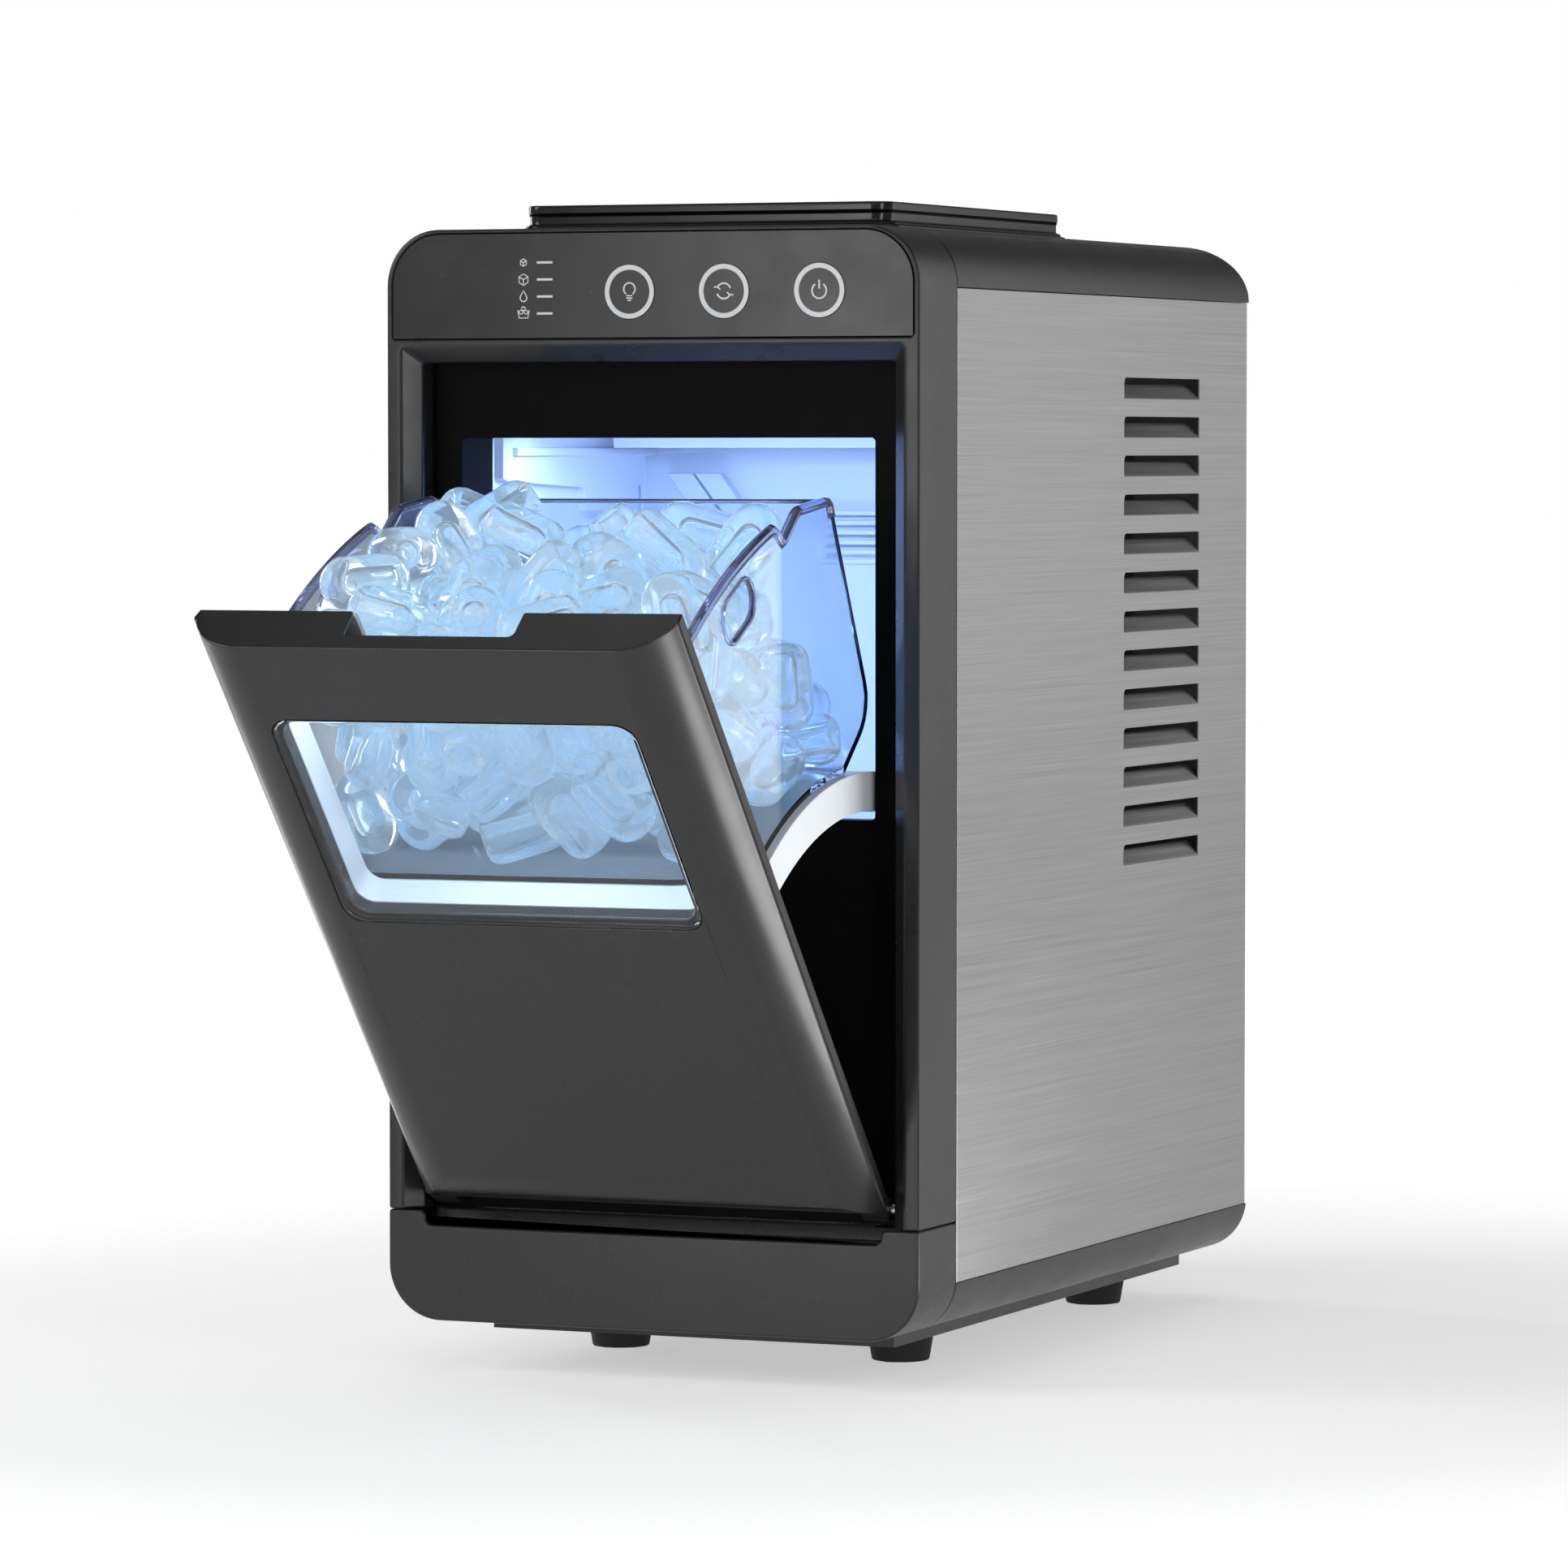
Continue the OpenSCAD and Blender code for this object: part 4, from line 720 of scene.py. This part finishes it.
def chamber_relief(bm):
    """Raised panels, ribs and a slotted grille moulded on the chamber's side and rear walls."""
    lining, sunk = 2.0, 0.5
    wall_x = CHAMBER[1].x / MM - lining
    rear = CHAMBER[1].y / MM - lining
    # The outlines on the side walls are drawn as if the rear wall stood at y = 210
    back = rear - 210.0

    def on_side(side, out):
        return lambda p, k: (side * (wall_x + sunk - (out + sunk) * k) * MM, (p[0] + back) * MM, p[1] * MM)

    def on_back(out):
        return lambda p, k: (p[0] * MM, (rear + sunk - (out + sunk) * k) * MM, p[1] * MM)

    for side in (-1, 1):
        prism(bm, [(57, 386), (57, 367), (62, 366), (138, 363), (141, 353), (174, 353), (182, 363),
                   (201, 364), (201, 386)], on_side(side, 4.0))
        prism(bm, [(66, 380), (66, 376.6), (209, 376.6), (209, 380)], on_side(side, 6.5))
        prism(bm, [(148, 350), (148, 262), (186, 262), (186, 350)], on_side(side, 1.6))
    prism(bm, [(-95, 381), (-95, 377.6), (95, 377.6), (95, 381)], on_back(1.6))
    for x in (0, -13):
        prism(bm, [(x - 70, 369), (x - 58, 369), (x - 40, 345), (x - 48, 341)], on_back(6))
    for k in range(5):
        z = 353 - 4.2 * k
        prism(bm, [(-10, z), (-10, z - 2.0), (74, z - 2.0), (74, z)], on_back(4.5))
    prism(bm, [(-14, 332), (-14, 330), (78, 330), (78, 332)], on_back(1.6))


relief = add_piece("chamber_relief", mesh_of("chamber_relief", chamber_relief),
                   MATERIALS["white_plastic"], "cabinet", False)
finish_edges(relief, 0.5, 2, weld=False)

# ---- Camera, floor and light -------------------------------------------------------

camera_data = bpy.data.cameras.new("camera")
camera_data.lens = 171.11
camera_data.sensor_width = 36
camera_data.clip_end = 50
CAMERA_DOWN, CAMERA_ROUND = 2.562, 23.086
camera = put_in_scene("camera", camera_data)
camera.location = (1.23346, -2.84401, 0.37882)
camera.rotation_euler = (math.radians(90 - CAMERA_DOWN), 0, math.radians(CAMERA_ROUND))
bpy.context.scene.camera = camera


def build_floor(bm):
    """Square floor 12 m wide, just below the feet."""
    bmesh.ops.create_grid(bm, x_segments=24, y_segments=24, size=6)
    for v in bm.verts:
        v.co.z -= 0.0002


def floor_material():
    """Pale floor that fades to white away from the machine and lights it only softly."""
    s = Shader("pale_floor", Roughness=0.6)
    s.link(s.tint(s.noise(3, 2), (0.84, 0.84, 0.84), (0.87, 0.87, 0.87)), s.bsdf.inputs["Base Color"])
    s.bsdf.inputs["Emission Color"].default_value = (1, 1, 1, 1)
    away = s.tree.nodes.new("ShaderNodeVectorMath")
    away.operation = "LENGTH"
    s.link(s.coordinates, away.inputs[0])
    own = s.tree.nodes.new("ShaderNodeMix")
    own.inputs["A"].default_value = 0.34
    s.link(s.tree.nodes.new("ShaderNodeLightPath").outputs["Is Camera Ray"], own.inputs["Factor"])
    s.link(s.spread(away.outputs["Value"], 0.5, 1.0, 0.4, 1.4), own.inputs["B"])
    s.link(own.outputs["Result"], s.bsdf.inputs["Emission Strength"])
    return s.material


floor = put_in_scene("floor", mesh_of("floor", build_floor))
floor.data.materials.append(floor_material())


def area_light(name, place, aim, size, power, colour=(1, 1, 1)):
    """Rectangular light at place, turned to aim and unseen by the camera; metres and watts."""
    data = bpy.data.lights.new(name, "AREA")
    data.shape = "RECTANGLE"
    data.size, data.size_y = size
    data.energy = power
    data.color = colour
    light = put_in_scene(name, data)
    light.location = place
    light.rotation_euler = (Vector(aim) - Vector(place)).to_track_quat("-Z", "Y").to_euler()
    light.visible_camera = False


area_light("key_left", (-2.2, -1.8, 1.5), (0, -0.1, 0.25), (1.2, 1.6), 28)
area_light("fill_front", (0.5, -3.2, 1.5), (0, 0, 0.3), (2.0, 1.2), 6)
area_light("front_sheen", (-0.42, -1.35, 0.26), (0.1, -0.15, 0.2), (0.22, 0.9), 2.5)
area_light("right_soft", (1.5, 1.9, 0.8), (0.1, 0.0, 0.25), (1.2, 1.4), 5)
area_light("right_near", (0.85, -0.65, 0.35), (0.1, -0.16, 0.24), (0.14, 0.9), 2.6)
area_light("left_edge", (-1.9, 0.9, 0.5), (-0.1, -0.1, 0.25), (0.22, 1.5), 12)
area_light("top_soft", (0, 0.2, 2.4), (0, 0, 0.4), (2.2, 2.2), 8)
area_light("low_right", (0.46, -0.02, 0.004), (0.46, -0.02, 1), (0.3, 0.36), 2.6)
area_light("low_left", (-0.62, 0.5, 0.004), (-0.62, 0.5, 1), (0.5, 0.5), 1.4)

ICE_BLUE, WINDOW_BLUE = (0.33, 0.50, 1.0), (0.70, 0.84, 1.0)
chamber_front, chamber_rear = CHAMBER[0].y, CHAMBER[1].y
lamp_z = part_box("chamber_lamp")[0].z
area_light("chamber_glow", (0, chamber_front + 0.015, lamp_z - 0.002), (0, chamber_front + 0.06, 0.2),
           (0.15, 0.02), 0.34, ICE_BLUE)
area_light("chamber_back", (0, chamber_front + 0.03, 0.20), (0, chamber_rear, 0.33), (0.16, 0.05), 0.14,
           ICE_BLUE)
area_light("window_glow", swung(0, -5, 278), swung(0, -5, 170), (0.14, 0.012), 0.13, WINDOW_BLUE)

# White to the camera; as a light it is brighter at the horizon than overhead
world = bpy.data.worlds.new("studio")
bpy.context.scene.world = world
world.use_nodes = True
nodes, links = world.node_tree.nodes, world.node_tree.links
background = nodes["Background"]
background.inputs["Color"].default_value = (1, 1, 1, 1)
seen = nodes.new("ShaderNodeLightPath")
height = nodes.new("ShaderNodeSeparateXYZ")
links.new(nodes.new("ShaderNodeTexCoord").outputs["Generated"], height.inputs[0])
dome = nodes.new("ShaderNodeMapRange")
dome.inputs["From Max"].default_value = 0.5
dome.inputs["To Min"].default_value = 0.28
dome.inputs["To Max"].default_value = 0.06
links.new(height.outputs["Z"], dome.inputs["Value"])
strength = nodes.new("ShaderNodeMix")
strength.inputs["B"].default_value = 1.0
links.new(seen.outputs["Is Camera Ray"], strength.inputs["Factor"])
links.new(dome.outputs["Result"], strength.inputs["A"])
links.new(strength.outputs["Result"], background.inputs["Strength"])

scene = bpy.context.scene
scene.view_settings.view_transform = "Standard"
scene.cycles.max_bounces = 14
scene.cycles.transmission_bounces = 14
scene.cycles.transparent_max_bounces = 16
scene.cycles.glossy_bounces = 6
scene.cycles.diffuse_bounces = 4
scene.cycles.sample_clamp_indirect = 6
scene.cycles.use_denoising = True
